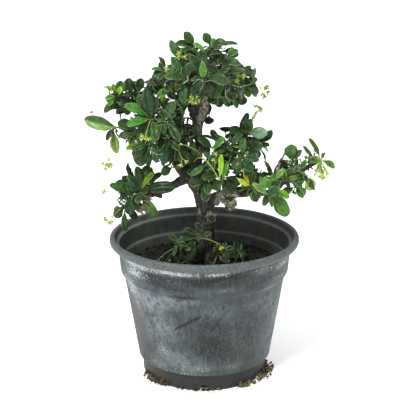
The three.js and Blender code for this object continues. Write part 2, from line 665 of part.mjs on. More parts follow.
// Tries a leaf's places in turn, and gives a list of the first that is clear, or an empty one
function growLeaf(node, tries, mostOverlap, make) {
  for (let attempt = 0; attempt < tries; attempt += 1) {
    const form = make(attempt);
    const fat = blade(form.base, form.tip, form.width, form.look, form.form, gap);
    const { others, own } = clashes(node, fat);
    if (others < noOverlap && own < mostOverlap) {
      const body = blade(form.base, form.tip, form.width, form.look, form.form);
      remember(node, body);
      return [body];
    }
  }
  return [];
}

// A bud or small fruit on its own short stalk
function budSolid(from, to, radius) {
  const along = to.clone().sub(from).normalize();
  const [first, second] = across(along);
  const ring = (place, r) => [0, 1, 2].map((k) => place.clone()
    .addScaledVector(first, Math.cos((k * Math.PI) / 1.5) * r)
    .addScaledVector(second, Math.sin((k * Math.PI) / 1.5) * r));
  const neck = to.clone().addScaledVector(along, -radius * 1.5);
  const root = from.clone().addScaledVector(along, -stalkRadius);
  const point = to.clone().addScaledVector(along, radius * 1.3);
  return solid(skin([ring(neck, stalkRadius * 0.8), ring(to, radius)], root, point));
}

// A small flower, as a thin star with five pointed lobes
function bloomSolid(centre, direction) {
  const [first, second] = across(direction);
  const star = Array.from({ length: 10 }, (_, k) => {
    const reach = petalReach * (k % 2 ? 0.45 : 1);
    const turn = (k * Math.PI) / 5;
    return centre.clone().addScaledVector(direction, flowerHeart / 2)
      .addScaledVector(first, Math.cos(turn) * reach)
      .addScaledVector(second, Math.sin(turn) * reach);
  });
  const foot = centre.clone().addScaledVector(direction, -flowerHeart / 2);
  return solid(skin([star], foot, centre.clone().addScaledVector(direction, flowerHeart)));
}

// A stalk from its shoot's knuckle, sagging a little, with buds and blooms spiralled round its end
function clusterSolid({ top, arm, buds, blooms }, host, index) {
  const draw = stream(90000 + 100 * index);
  const from = vector(host.tip);
  const to = vector(top);
  const sag = new THREE.Vector3(0, 0, from.distanceTo(to) * 0.08);
  const middle = from.clone().lerp(to, 0.5).add(sag);
  const line = [from, middle, to].map((p) => p.toArray());
  const pieces = [tube(line, [stalkRadius, stalkRadius, stalkRadius * 1.3], 3)];
  const direction = to.clone().sub(middle).normalize();
  const [first, second] = across(direction);
  for (let k = 0; k < buds + blooms; k += 1) {
    const turn = golden * k + draw();
    const wide = 0.35 + 0.75 * draw();
    const reach = direction.clone()
      .addScaledVector(first, Math.cos(turn) * wide)
      .addScaledVector(second, Math.sin(turn) * wide)
      .normalize();
    const start = to.clone().lerp(middle, 0.25 * (k / (buds + blooms)));
    const end = start.clone().addScaledVector(reach, arm * (0.75 + 0.5 * draw()));
    const open = k >= buds;
    pieces.push(budSolid(start, end, open ? calyxRadius : budRadius));
    if (open) pieces.push(bloomSolid(end, reach));
  }
  return wasm.Manifold.union(pieces);
}

// The tree, its soil and its pot, put together
const wood = woodSolid(0);
const woodCutter = woodSolid(gap);
const pot = potSolid();
const soil = soilSolid(woodCutter);
remember('trunk', wood);
remember('pot', pot);
remember('soil', soil);

// The solids of each leafy stem and flower cluster. The stems come first, so that every leaf keeps clear
// of them.
const parts = new Map();
sprays.forEach((spray) => {
  const node = `spray_${spray.name}`;
  const twigs = spray.shoots.map((end, shootIndex) => twigSolid(spray, shootIndex));
  const stem = wasm.Manifold.union(twigs).subtract(woodCutter);
  parts.set(node, [stem]);
  remember(node, stem);
});

clusters.forEach((bunch, index) => {
  const node = `flowers_${bunch.name}`;
  const spray = sprays.find(({ name }) => name === bunch.spray);
  const hostTwigs = spray.shoots.map((end, shootIndex) => twigSolid(spray, shootIndex, gap));
  const cutter = wasm.Manifold.union([...hostTwigs, woodCutter]);
  const body = largest(clusterSolid(bunch, spray.shoots[bunch.host], index).subtract(cutter));
  parts.set(node, [body]);
  remember(node, body);
});

sprays.forEach((spray) => {
  const node = `spray_${spray.name}`;
  spray.shoots.forEach((end) => end.placed.forEach((wish) => {
    const make = (attempt) => placedLeaf(end, wish, attempt);
    parts.get(node).push(...growLeaf(node, depthShifts.length, mostPlacedOverlap, make));
  }));
});

// The upper leaves of every shoot come first, then its lower ones
const mostRuled = Math.max(...sprays.flatMap(({ shoots }) => shoots.map(({ count }) => count)));
for (let k = mostRuled - 1; k >= 0; k -= 1) {
  sprays.forEach((spray, sprayIndex) => {
    const node = `spray_${spray.name}`;
    spray.shoots.forEach((end, shootIndex) => {
      if (k >= end.count) return;
      const make = (attempt) => ruledLeaf(sprayIndex, shootIndex, k, attempt);
      parts.get(node).push(...growLeaf(node, swings.length, mostRuledOverlap, make));
    });
  });
}

// Colours from the photograph, one material for each piece
const looks = {
  pot: { color: 0x4a4f52, roughness: 0.72, metalness: 0 },
  soil: { color: 0x2b2019, roughness: 0.95, metalness: 0 },
  wood: { color: 0x5a4d40, roughness: 0.9, metalness: 0 },
  leaves: { color: 0x2f5a2c, roughness: 0.45, metalness: 0 },
  flowers: { color: 0xa8b842, roughness: 0.6, metalness: 0 },
};

const bonsai = new THREE.Group();

function addPiece(name, body, look) {
  const mesh = new THREE.Mesh(geometryOf(body), new THREE.MeshStandardMaterial(looks[look]));
  mesh.name = name;
  bonsai.add(mesh);
}

addPiece('pot', pot, 'pot');
addPiece('soil', soil, 'soil');
addPiece('trunk', wood, 'wood');
parts.forEach((pieces, name) => {
  const body = largest(wasm.Manifold.union(pieces));
  addPiece(name, body, name.startsWith('spray') ? 'leaves' : 'flowers');
});

export default bonsai;
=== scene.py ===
# Fukien tea bonsai in its plastic nursery pot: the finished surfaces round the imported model.
# Lengths are millimetres until a mesh is made. MM turns them into Blender's metres.
import math
from collections import namedtuple

import bmesh
import bpy
import numpy as np
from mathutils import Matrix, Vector, noise
from mathutils.kdtree import KDTree


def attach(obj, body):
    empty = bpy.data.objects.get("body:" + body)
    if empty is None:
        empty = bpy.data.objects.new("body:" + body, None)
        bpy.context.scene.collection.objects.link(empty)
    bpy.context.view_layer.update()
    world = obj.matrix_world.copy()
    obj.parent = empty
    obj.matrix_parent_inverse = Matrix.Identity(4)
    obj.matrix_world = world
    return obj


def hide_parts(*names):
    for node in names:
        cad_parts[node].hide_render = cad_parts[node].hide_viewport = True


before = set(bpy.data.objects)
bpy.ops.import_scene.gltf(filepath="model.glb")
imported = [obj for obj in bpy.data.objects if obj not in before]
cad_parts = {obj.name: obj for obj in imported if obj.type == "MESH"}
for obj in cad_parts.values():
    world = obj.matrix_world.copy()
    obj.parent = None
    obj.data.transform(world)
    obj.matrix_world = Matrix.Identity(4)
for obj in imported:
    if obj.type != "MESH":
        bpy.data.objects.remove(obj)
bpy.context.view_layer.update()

MM = 0.001
GOLDEN = math.radians(137.5)
# How many sides the tubes of boughs, twigs, thin stalks and spurs have, and the turned buds
BOUGH_SIDES = 16
TWIG_SIDES = 8
STALK_SIDES = 7
SPUR_SIDES = 6
BUD_SIDES = 10
# Where each stream of random numbers starts, by what it is for
SEEDS = {
    "soil": 5, "crust": 11, "litter": 23, "foot_crust": 31, "foot_grit": 37, "dry_tuft": 41,
    "dry_leaf": 3000, "tuft_leaf": 6000, "set_leaf": 8000, "peeping_bud": 8100, "spray_leaf": 40000,
    "spur": 50000, "fill": 70000, "fill_leaf": 80000, "cluster": 90000, "bloom": 95000, "spike": 97000,
}
UP = np.array([0.0, 0.0, 1.0])
ROOT = "root"

# The photograph's camera
CAMERA_PLACE = (3.8, -1330, 599)
CAMERA_PITCH = 17.55
FOCAL_PIXELS = 1335
PHOTO_PIXELS = 416
SENSOR = 36

# A shoot's tip, how many leaves the rule adds there, their length, and the leaves placed one by one: the end
# of each blade, its width, its colour and the way its upper face looks
Shoot = namedtuple("Shoot", "tip count size placed")
leaf = namedtuple("leaf", "tip width tone look", defaults=("dark", "front"))


def shoot(tip, count, size, *placed):
    return Shoot(tip, count, size, placed)


# Every leafy stem: its name, where it leaves the wood, and its shoots
SPRAYS = [
    ("top_left", (-9, 3, 334), [
        shoot((-10, -3, 347), 2, 15, leaf((-20, -8, 365), 11, "mid"), leaf((-28, -14, 355), 9, "mid"),
              leaf((-27, -22, 345), 9, "mid")),
        shoot((-20, -24, 338), 4, 20, leaf((-33, -34, 332), 10, "mid")),
    ]),
    ("top_right", (9, -6, 346), [
        shoot((6, -8, 350), 1, 14, leaf((0, -10, 364), 10, "mid"), leaf((20, -16, 357), 12, "mid"),
              leaf((34, -6, 353), 7, "mid")),
        shoot((21, -15, 340), 3, 15, leaf((33, -16, 349), 8, "mid"), leaf((35, -27, 335), 10, "mid"),
              leaf((15, -32, 339), 11)),
    ]),
    ("crown_right", (32, -8, 320), [
        shoot((35, -8, 321), 2, 15, leaf((36, -13, 335), 11, "mid"), leaf((50, -12, 326), 10)),
        shoot((39, -10, 313), 3, 20, leaf((53, -12, 318), 10), leaf((52, -17, 309), 11),
              leaf((45, -20, 301), 9, "bright")),
    ]),
    ("crown_right_low", (20, -10, 315), [
        shoot((27, -22, 309), 3, 19, leaf((37, -28, 299), 10, "dark", "under"),
              leaf((26, -30, 294), 10, "dark", "under")),
        shoot((15, -26, 309), 3, 19, leaf((15, -30, 293), 10, "dark", "under"), leaf((5, -38, 300), 10)),
        shoot((18, -38, 327), 4, 21),
    ]),
    ("crown_front", (-1, -32, 319), [
        # The crown's two large front leaves are painted deep shade
        shoot((-1, -46, 327), 4, 22, leaf((-12, -52, 314), 13, "deep"), leaf((9, -50, 315), 12, "deep")),
        shoot((1, -28, 343), 4, 18, leaf((-1, -42, 331), 9, "young", "viewer")),
    ]),
    ("crown_left_front", (-22, -16, 312), [
        shoot((-20, -42, 324), 4, 21),
        shoot((-35, -26, 311), 4, 19, leaf((-46, -34, 306), 10, "bright")),
        shoot((-17, -28, 300), 4, 19, leaf((-29, -34, 293), 9), leaf((-24, -42, 301), 12)),
    ]),
    ("crown_left", (-40, -12, 322), [
        shoot((-39, -14, 325), 4, 16, leaf((-52, -16, 331), 8, "bright", "up"),
              leaf((-51, -18, 323), 9, "mid")),
        shoot((-44, -10, 315), 2, 14, leaf((-61, -6, 313), 6, "dark", "up"), leaf((-48, -14, 302), 10)),
        shoot((-62, -12, 302), 0, 16),
    ]),
    ("crown_back_left", (-25, 32, 310), [
        shoot((-30, 40, 310), 4, 22),
        shoot((-19, 32, 323), 4, 19),
        shoot((-42, 24, 307), 4, 19),
    ]),
    ("crown_back_right", (20, 32, 312), [
        shoot((27, 38, 311), 4, 22),
        shoot((12, 28, 327), 4, 19),
        shoot((35, 26, 303), 4, 19),
    ]),
    ("crown_back", (-4, 4, 301), [
        shoot((-1, 50, 306), 4, 22),
        shoot((2, 36, 290), 5, 20),
    ]),
    ("trunk_leaf", (-3, 3, 281), [
        shoot((5, 12, 277), 0, 12, leaf((4, 14, 264), 12)),
    ]),
    ("left_tip", (-81, 0, 296), [
        shoot((-85, -3, 299), 3, 17, leaf((-84, -6, 315), 12, "mid"),
              leaf((-102, -4, 310), 6, "young", "up"), leaf((-98, -14, 295), 13),
              leaf((-101, -10, 283), 9)),
        shoot((-77, 6, 300), 3, 18, leaf((-69, 6, 312), 9, "mid")),
        shoot((-71, 20, 287), 4, 20),
    ]),
    ("left_glossy", (-47, -12, 254), [
        shoot((-53, -30, 281), 3, 20, leaf((-57, -38, 313), 13, "glossy"), leaf((-46, -36, 306), 8),
              leaf((-79, -36, 297), 11, "bright"), leaf((-76, -42, 280), 10, "bright"),
              leaf((-65, -44, 270), 12)),
    ]),
    ("far_left", (-84, -6, 265), [
        shoot((-92, -11, 267), 2, 16, leaf((-121, -12, 276), 19, "set"),
              leaf((-89, -16, 242), 10, "mottled", "viewer"), leaf((-94, -4, 251), 5)),
    ]),
    ("left_low", (-59, -10, 261), [
        shoot((-67, -24, 267), 3, 18, leaf((-82, -34, 264), 10), leaf((-87, -28, 277), 13)),
        shoot((-54, -28, 256), 3, 18, leaf((-67, -34, 234), 18), leaf((-72, -38, 253), 9),
              leaf((-80, -24, 249), 8, "young")),
    ]),
    ("left_inner", (-36, -12, 245), [
        shoot((-39, -26, 260), 3, 18, leaf((-40, -32, 235), 12, "glossy", "viewer")),
        shoot((-32, -22, 255), 2, 18, leaf((-14, -26, 234), 16)),
        shoot((-31, -15, 227), 0, 14, leaf((-44, -18, 221), 11, "mid")),
    ]),
    ("left_high", (-47, -6, 261), [
        shoot((-39, -34, 280), 4, 21),
        shoot((-40, -24, 295), 4, 20, leaf((-43, -34, 306), 8, "young")),
        shoot((-56, 16, 286), 4, 20),
    ]),
    ("trunk_left", (-7, 0, 269), [
        shoot((-24, -22, 278), 4, 21, leaf((-28, -32, 264), 12), leaf((-16, -32, 263), 10)),
        shoot((-19, -18, 258), 1, 18, leaf((-20, -24, 240), 13)),
    ]),
    ("trunk_cross", (-6, 1, 257), [
        shoot((-13, -14, 260), 3, 19, leaf((2, -18, 269), 8, "mid", "up"),
              leaf((17, -14, 252), 6, "mid", "up")),
    ]),
    ("left_back", (-40, 26, 243), [
        shoot((-47, 38, 261), 4, 22),
        shoot((-30, 32, 256), 5, 20),
        shoot((-26, 34, 237), 3, 20),
    ]),
    ("left_back_end", (-57, 32, 252), [
        shoot((-66, 40, 261), 4, 22),
        shoot((-74, 32, 248), 4, 19),
        shoot((-57, 22, 236), 4, 20),
    ]),
    ("lower_left", (-70, -10, 195), [
        shoot((-65, -15, 201), 3, 18, leaf((-69, -12, 227), 10), leaf((-59, -8, 227), 10),
              leaf((-53, -20, 223), 7, "young"), leaf((-30, -24, 208), 17),
              # Painted light: this leaf under the dry tuft is given a light green that lifts its shade
              leaf((-79, -24, 212), 11, "glossy"), leaf((-50, -24, 176), 14, "fresh", "viewer")),
        shoot((-77, -15, 197), 1, 15, leaf((-96, -14, 208), 10, "mid"), leaf((-77, -24, 179), 13, "glossy"),
              leaf((-64, -26, 183), 10)),
    ]),
    ("lower_left_hang", (-76, -8, 194), [
        shoot((-82, -9, 182), 2, 14, leaf((-82, -14, 157), 8, "mid", "viewer"),
              leaf((-94, -14, 173), 10, "dark", "viewer"), leaf((-70, -10, 170), 9, "mid", "viewer")),
        shoot((-83, 0, 203), 2, 14, leaf((-80, -2, 214), 11)),
    ]),
    ("lower_left_back", (-58, -12, 196), [
        shoot((-57, 14, 198), 5, 20),
        shoot((-75, 20, 200), 5, 20),
    ]),
    ("trunk_front", (-3, -2, 192), [
        shoot((3, -28, 217), 2, 18, leaf((-15, -34, 215), 14), leaf((16, -38, 211), 12),
              leaf((1, -38, 197), 11, "dark", "viewer")),
    ]),
    ("front_right", (3, -6, 222), [
        shoot((18, -30, 221), 3, 18, leaf((30, -36, 205), 13), leaf((16, -36, 243), 6, "young"),
              leaf((37, -32, 215), 12)),
        shoot((7, -26, 232), 4, 19),
    ]),
    ("middle_top", (45, -4, 252), [
        shoot((42, -5, 261), 2, 17, leaf((46, -9, 275), 13, "mid"), leaf((63, -14, 264), 15, "pale"),
              leaf((25, -16, 266), 13, "mid")),
        shoot((46, -12, 247), 2, 15, leaf((59, -20, 250), 12), leaf((57, -18, 239), 9),
              leaf((51, -30, 243), 12)),
    ]),
    ("middle_front", (37, -6, 246), [
        shoot((39, -30, 243), 4, 17, leaf((48, -40, 230), 12, "glossy"), leaf((29, -40, 233), 12, "mid")),
    ]),
    ("middle_left", (14, -8, 233), [
        shoot((10, -24, 246), 4, 18),
        shoot((26, -26, 252), 4, 18),
    ]),
    ("middle_back", (35, 26, 237), [
        shoot((38, 36, 247), 4, 21),
        shoot((54, 28, 238), 5, 19),
        shoot((19, 36, 237), 4, 20),
    ]),
    ("middle_low", (24, -8, 240), [
        shoot((37, -16, 222), 4, 18, leaf((44, -26, 210), 8, "yellow"), leaf((30, -26, 210), 9)),
    ]),
    ("right_inner", (49, -13, 198), [
        shoot((49, -26, 209), 3, 16, leaf((62, -34, 206), 7, "bright"), leaf((53, -36, 196), 9)),
        shoot((48, 8, 211), 4, 19),
    ]),
    ("right_front", (64, -12, 198), [
        shoot((68, -26, 204), 1, 15, leaf((85, -38, 182), 17, "leafy"), leaf((88, -24, 199), 11, "bright"),
              leaf((60, -36, 222), 8, "bright"), leaf((76, -38, 218), 10, "glossy"),
              leaf((60, -34, 192), 8)),
    ]),
    ("right_middle", (68, -10, 201), [
        shoot((58, -4, 213), 4, 15),
    ]),
    ("right_upper", (78, -3, 229), [
        shoot((88, -4, 230), 0, 14, leaf((89, -8, 249), 15, "mid"), leaf((99, -6, 243), 7)),
    ]),
    ("right_top", (85, -5, 210), [
        shoot((82, -18, 216), 4, 17),
        shoot((97, -10, 224), 3, 16),
    ]),
    ("right_end", (116, 0, 227), [
        shoot((120, 0, 230), 2, 12, leaf((108, 0, 254), 9, "mid", "right"), leaf((135, -3, 223), 9, "mid")),
        shoot((110, -6, 233), 2, 13, leaf((102, -4, 247), 5), leaf((120, -14, 231), 9, "bright")),
    ]),
    ("right_low", (96, -3, 215), [
        shoot((105, -12, 217), 2, 14, leaf((110, -16, 202), 12, "mottled", "viewer"),
              leaf((93, -20, 210), 10)),
        shoot((94, -16, 206), 2, 13, leaf((103, -20, 198), 10, "mid"), leaf((80, -22, 201), 9)),
    ]),
    ("right_back", (74, -8, 204), [
        shoot((71, 18, 208), 5, 19),
        shoot((94, 18, 217), 5, 18),
    ]),
    ("base_left", (-1, -9, 122), [
        shoot((-11, -26, 154), 4, 18, leaf((-14, -40, 136), 13)),
        shoot((-25, -24, 148), 3, 15, leaf((-27, -30, 134), 7, "mid", "viewer")),
    ]),
    ("base_right", (4, -8, 121), [
        shoot((18, -18, 135), 3, 12),
        shoot((38, -4, 129), 3, 12),
    ]),
]

# Clusters of buds and flowers: name, the stem and the shoot they hang from, where they end, how far
# their stalks reach, and how many buds and open flowers
CLUSTERS = [
    ("crown_left", "crown_left", 0, (-35, -28, 331), 5.5, 4, 1),
    ("crown_top", "top_left", 1, (-22, -34, 346), 5.5, 3, 0),
    ("crown_right", "crown_right", 0, (35, -30, 324), 5.5, 6, 0),
    ("crown_far_right", "crown_right", 0, (57, -14, 309), 8, 3, 2),
    ("crown_under", "crown_left_front", 2, (-11, -42, 304), 5.5, 6, 0),
    ("far_left_berry", "left_tip", 0, (-111, -8, 286), 5.5, 1, 0),
    ("left_low", "far_left", 0, (-97, -25, 237), 9, 4, 2),
    ("left_front", "left_glossy", 0, (-58, -46, 268), 5.5, 4, 0),
    ("oval", "left_inner", 1, (-22, -38, 242), 5.5, 2, 0),
    ("middle_spike", "middle_top", 0, (53, -8, 283), 6.5, 5, 0),
    ("middle_front", "middle_left", 0, (12, -42, 246), 5.5, 3, 0),
    ("lower_left_tip", "lower_left", 1, (-99, -18, 202), 5.5, 2, 0),
    ("lower_left_low", "lower_left_hang", 0, (-95, -20, 175), 8, 3, 1),
    ("lower_left_dead", "lower_left", 0, (-61, -28, 190), 7, 5, 1),
    ("right_end", "right_end", 0, (121, -8, 220), 7, 5, 0),
    ("base", "base_left", 0, (16, -34, 150), 4, 0, 1),
]

# The wood above the soil: every bough's points, and its radius at each
BOUGHS = {
    "trunk": (
        [(0, 0, 104), (0, 0, 118), (0, 0, 132), (1, 0, 149), (2, -1, 163), (1, -1, 174), (-1, 0, 186),
         (-4, 0, 197), (-9, 0, 208), (-9, 0, 220), (-7, 0, 234), (-5, 1, 245), (-6, 1, 257),
         (-7, 1, 267), (-5, 1, 279), (-2, 1, 288), (-3, 3, 297), (-6, 4, 310), (-8, 4, 322),
         (-9, 3, 334)],
        [12, 12.5, 10.5, 9, 8.4, 7.8, 8.2, 9.2, 9.6, 7, 5.5, 4.6, 4.5, 5.4, 7.4, 6.8, 5, 3.8, 2.8, 1.8],
    ),
    "left": (
        [(-12, 0, 207), (-23, -6, 219), (-31, -10, 235), (-36, -12, 245), (-47, -12, 254),
         (-59, -10, 261), (-72, -8, 264), (-84, -6, 265)],
        [6, 5, 4.2, 3.8, 3.2, 2.8, 2.4, 1.8],
    ),
    "leftUpper": (
        [(-36, -12, 245), (-47, -6, 261), (-60, -2, 275), (-72, 0, 288), (-81, 0, 296)],
        [3.4, 2.8, 2.4, 2, 1.6],
    ),
    "leftBack": (
        [(-12, 2, 214), (-25, 16, 230), (-40, 26, 243), (-57, 32, 252)],
        [4.2, 3.3, 2.6, 1.8],
    ),
    "lowerLeft": (
        [(-8, 0, 211), (-20, -4, 211), (-31, -8, 206), (-46, -11, 199), (-58, -12, 196),
         (-70, -10, 195)],
        [6, 5, 4.4, 3.5, 3, 2.2],
    ),
    "right": (
        [(0, 0, 181), (10, -6, 190), (22, -10, 197), (36, -12, 198), (49, -13, 198), (64, -12, 198),
         (74, -8, 204), (85, -5, 210), (96, -3, 215), (106, -2, 223), (116, 0, 227)],
        [7, 6.2, 5.4, 4.6, 3.1, 2.7, 3.1, 3.2, 3.4, 2.4, 1.6],
    ),
    "rightUpper": (
        [(73, -8, 204), (75, -4, 219), (78, -3, 229), (82, -2, 236), (87, 0, 245)],
        [2.4, 2, 1.8, 1.4, 0.9],
    ),
    "middleRight": (
        [(-7, -2, 209), (3, -6, 222), (14, -8, 233), (25, -8, 240), (37, -6, 246), (45, -4, 252)],
        [5, 4, 3.4, 2.8, 2.4, 1.7],
    ),
    "middleBack": (
        [(-7, 3, 212), (6, 14, 227), (21, 22, 235), (35, 26, 237)],
        [4.4, 3.2, 2.5, 1.7],
    ),
    "crownLeft": (
        [(-4, 1, 293), (-12, -8, 303), (-22, -16, 312), (-32, -16, 318), (-40, -12, 322)],
        [4.5, 3.6, 3, 2.4, 1.7],
    ),
    "crownRight": (
        [(-2, 2, 295), (8, -6, 306), (20, -10, 315), (32, -8, 320)],
        [4.2, 3.4, 2.7, 1.8],
    ),
    "crownTop": (
        [(-7, 4, 314), (1, -4, 326), (7, -6, 338), (9, -6, 346)],
        [3, 2.6, 2.1, 1.5],
    ),
    "crownBackLeft": (
        [(-4, 4, 301), (-15, 20, 306), (-25, 32, 310)],
        [3.8, 2.8, 1.7],
    ),
    "crownBackRight": (
        [(-4, 4, 301), (8, 20, 308), (20, 32, 312)],
        [3.8, 2.8, 1.7],
    ),
    "crownFront": (
        [(-4, 0, 294), (-3, -18, 306), (-1, -32, 319)],
        [4, 3, 1.8],
    ),
}

# Surface roots: bearings round the trunk, then distance from its axis, height and radius along each
ROOT_BEARINGS = [20, 115, 205, 290]
ROOT_PLACES = [(2, 125), (14, 119), (30, 110)]
ROOT_RADII = [6, 4, 1.8]

# Knots and lichen lumps on the bark: place and radius
LUMPS = [
    ((13, -10, 187), 3.6), ((20, -13, 191), 4.6), ((30, -14, 201), 4.2), ((28, -14, 190), 5.6),
    ((9, -7, 172), 4.4), ((93, -6, 217), 4), ((-12, -4, 287), 4.4), ((-17, -6, 214), 5),
    ((26, -14, 183), 4.4),
]
# A place where crusts grow with no lump under them
CRUST_ROOT = ((35, -14, 189), 4.2)

# The pot in half section: out from the middle of the underside, up, over the lip and back down inside
POT_PROFILE = [
    (0, 0), (65.5, 0), (66.5, 17), (70, 18.6), (85, 109.5), (88.4, 112.5), (90.9, 140), (97.2, 141),
    (100, 144.2), (99.4, 148.4), (96.8, 150), (94.2, 149.6), (92.4, 143), (89.2, 142), (87.8, 124.6),
    (85.4, 123.6), (82.8, 108), (67.6, 19), (64.2, 15.5), (63.4, 3.5), (61.5, 2.4), (0, 2.4),
]
SOIL_EDGE = 114.5
SOIL_PROFILE = [(0, 3.3), (62.2, 3.5), (63.2, 17.5), (82.8, SOIL_EDGE - 3), (82.6, SOIL_EDGE), (0, SOIL_EDGE)]
SOIL_SWELL = [(0, 119), (32, 118), (60, 116), (82.8, SOIL_EDGE)]
NOTCH_COUNT = 6
NOTCH_WIDTH = 9
NOTCH_HEIGHT = 6.5

# How the model's leaves are placed, as in the part's own source
TWIG_BOW = 0.14
SUNK = 0.7
SWINGS = [0, 24, -24, 48, -48, 0, 0, 72, -72, 30, -30]
LIFTS = [0, 0, 0, 8, 8, -22, 18, -10, -10, -30, -30]
SHARES = [1, 1, 1, 0.92, 0.92, 0.9, 0.85, 0.85, 0.85, 0.75, 0.75]
SIGHT_LINE = np.array([0, -0.953, 0.302])
DEPTH_SHIFTS = [0, 3, -3, 6, -6, 9, -9, 12, -12, 16, -16]
FACING = {
    "front": (0, -0.75, 0.66),
    "up": (0, -0.2, 0.98),
    "viewer": (0, -0.98, 0.2),
    "left": (-0.6, -0.5, 0.6),
    "right": (0.6, -0.5, 0.6),
    "under": (0, 0.7, 0.7),
}
# The model's blades: where each section is along the blade and how wide, and the heights of rib and edges
SECTIONS = {"large": [(0.18, 0.12), (0.58, 1), (0.85, 0.74)], "small": [(0.22, 0.14), (0.68, 1)]}
BLADE_BOW = 0.1
BLADE_FOLD = 0.1
BLADE_FOLDED = 0.86
EDGE_RISE = 0.52
FOUND_WITHIN = 0.06

Blade = namedtuple("Blade", "base tip width look form")


def unit(v):
    return v / np.linalg.norm(v)


def across(direction):
    """Two unit vectors square to a direction and to each other"""
    helper = np.array([1.0, 0, 0]) if abs(direction[2]) > 0.9 else UP
    first = unit(np.cross(direction, helper))
    return first, unit(np.cross(direction, first))


def square_to(direction, turn):
    """A unit vector square to a direction, at a turn round it"""
    first, second = across(direction)
    return first * math.cos(turn) + second * math.sin(turn)


def held(value):
    """A value kept between 0 and 1"""
    return min(1, max(0, value))


def mixed(first, second, share):
    return np.array(first) * (1 - share) + np.array(second) * share


def travelled(line):
    """How far along a line each of its points is"""
    return np.concatenate([[0], np.cumsum(np.linalg.norm(np.diff(line, axis=0), axis=1))])


def stream(seed):
    """A repeatable stream of numbers from 0 to 1"""
    modulus = 2147483647
    state = (seed * 7919 + 17) % modulus

    def step():
        nonlocal state
        state = state * 16807 % modulus
        return state / modulus

    step()
    step()
    return step


def point(p):
    return np.array(p, float)


def twig_points(start, end):
    """A twig bows up a little on its way"""
    rise = np.linalg.norm(end - start) * TWIG_BOW
    return [start, start + (end - start) * 0.55 + UP * rise, end]


def shoot_line(stem, index):
    """A stem's first shoot leaves the wood, and its others fork from the middle of the first"""
    _, root, shoots = stem
    start = point(root)
    if index > 0:
        start = twig_points(start, point(shoots[0].tip))[1]
    return twig_points(start, point(shoots[index].tip))


def rank_of(k, count):
    """How far up its shoot leaf k of a count is, from 0 to 1"""
    return k / (count - 1) if count > 1 else 1


def ruled_blade(stem_index, index, k, attempt):
    """Leaf k of a shoot, by the same spiral rule as in the part's own source"""
    stem = SPRAYS[stem_index]
    end = stem[2][index]
    draw = stream(1000 * (stem_index + 1) + 50 * index + k)
    line = shoot_line(stem, index)
    direction = unit(line[2] - line[1])
    outward = unit(np.array([line[2][0] * 0.4, line[2][1], 0]))
    direction = unit(direction + 0.35 * outward + 0.3 * UP)
    rank = rank_of(k, end.count)
    turn = GOLDEN * k + stem_index + 2 * index + draw() * 0.6 + math.radians(SWINGS[attempt])
    spread = math.radians(88 - 46 * rank + 14 * (draw() - 0.5) + LIFTS[attempt])
    length = end.size * (0.98 + 0.32 * draw()) * SHARES[attempt]
    width = length * BLADE_FOLDED * (0.5 + 0.12 * draw())
    reach = direction * math.cos(spread) + square_to(direction, turn) * math.sin(spread)
    reach = unit(reach - (0.04 + 0.3 * draw()) * UP)
    base = line[2] + (line[1] - line[2]) * 0.25 * (1 - rank) + reach * SUNK
    look = direction + across(direction)[0] * (draw() - 0.5)
    look = look + UP * (0.3 + 0.8 * draw())
    return Blade(base, base + reach * length, width, look, "small")


def placed_blade(shoot_tip, wish, attempt):
    """A listed leaf, moved a little along the line of sight with each attempt"""
    end = point(wish.tip) + SIGHT_LINE * DEPTH_SHIFTS[attempt]
    hub = point(shoot_tip)
    base = hub + unit(end - hub) * SUNK
    return Blade(base, end, wish.width * BLADE_FOLDED, point(FACING[wish.look]), "large")


def axes(blade):
    """A blade's length and its directions along, to its left and out of its upper face"""
    reach = blade.tip - blade.base
    length = np.linalg.norm(reach)
    along = reach / length
    side = unit(np.cross(blade.look, along))
    return length, along, side, np.cross(along, side)


def marks(blade):
    """Three corners of the model's own solid for a blade: its tip and both ends of its widest section"""
    length, _, side, normal = axes(blade)
    t, share = next(s for s in SECTIONS[blade.form] if s[1] == 1)
    half = blade.width / 2 * share
    middle = blade.base + (blade.tip - blade.base) * t + normal * length * BLADE_BOW * 4 * t * (1 - t)
    lift = normal * (half * BLADE_FOLD + EDGE_RISE)
    return [blade.tip, middle + side * half + lift, middle - side * half + lift]


def corner_tree(node):
    """Finds the nearest corner of one node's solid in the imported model"""
    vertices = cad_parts[node].data.vertices
    tree = KDTree(len(vertices))
    for vertex in vertices:
        tree.insert(vertex.co / MM, vertex.index)
    tree.balance()
    return tree


def first_kept(tree, tries, make):
    """The first of a leaf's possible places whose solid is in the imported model, or None"""
    for attempt in range(tries):
        blade = make(attempt)
        found = sum(tree.find(Vector(mark))[2] < FOUND_WITHIN for mark in marks(blade))
        if found >= 2:
            return blade
    return None


def kept_blades(stem_index):
    """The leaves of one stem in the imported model, as (rank, blade, tone)"""
    name, _, shoots = SPRAYS[stem_index]
    tree = corner_tree(f"spray_{name}")
    kept = []
    for index, end in enumerate(shoots):
        for wish in end.placed:
            blade = first_kept(tree, len(DEPTH_SHIFTS), lambda n: placed_blade(end.tip, wish, n))
            if blade:
                kept.append((1, blade, wish.tone))
        for k in range(end.count):
            blade = first_kept(tree, len(SWINGS), lambda n: ruled_blade(stem_index, index, k, n))
            if blade:
                kept.append((rank_of(k, end.count), blade, None))
    return kept


def linear(rgb):
    """A colour of 0 to 255 steps as the linear numbers that shaders take"""
    shares = [c / 255 for c in rgb]
    return tuple(c / 12.92 if c <= 0.04045 else ((c + 0.055) / 1.055) ** 2.4 for c in shares)


def named_tones(**colours):
    return {name: linear(rgb) for name, rgb in colours.items()}


def keep(mesh, name, values):
    """Keeps a few numbers for each point of a mesh, as its tone colour or its blade vector"""
    kind, key = {"tone": ("FLOAT_COLOR", "color"), "blade": ("FLOAT_VECTOR", "vector")}[name]
    kept = mesh.attributes.get(name) or mesh.attributes.new(name, kind, "POINT")
    kept.data.foreach_set(key, np.asarray(values, np.float32).ravel())


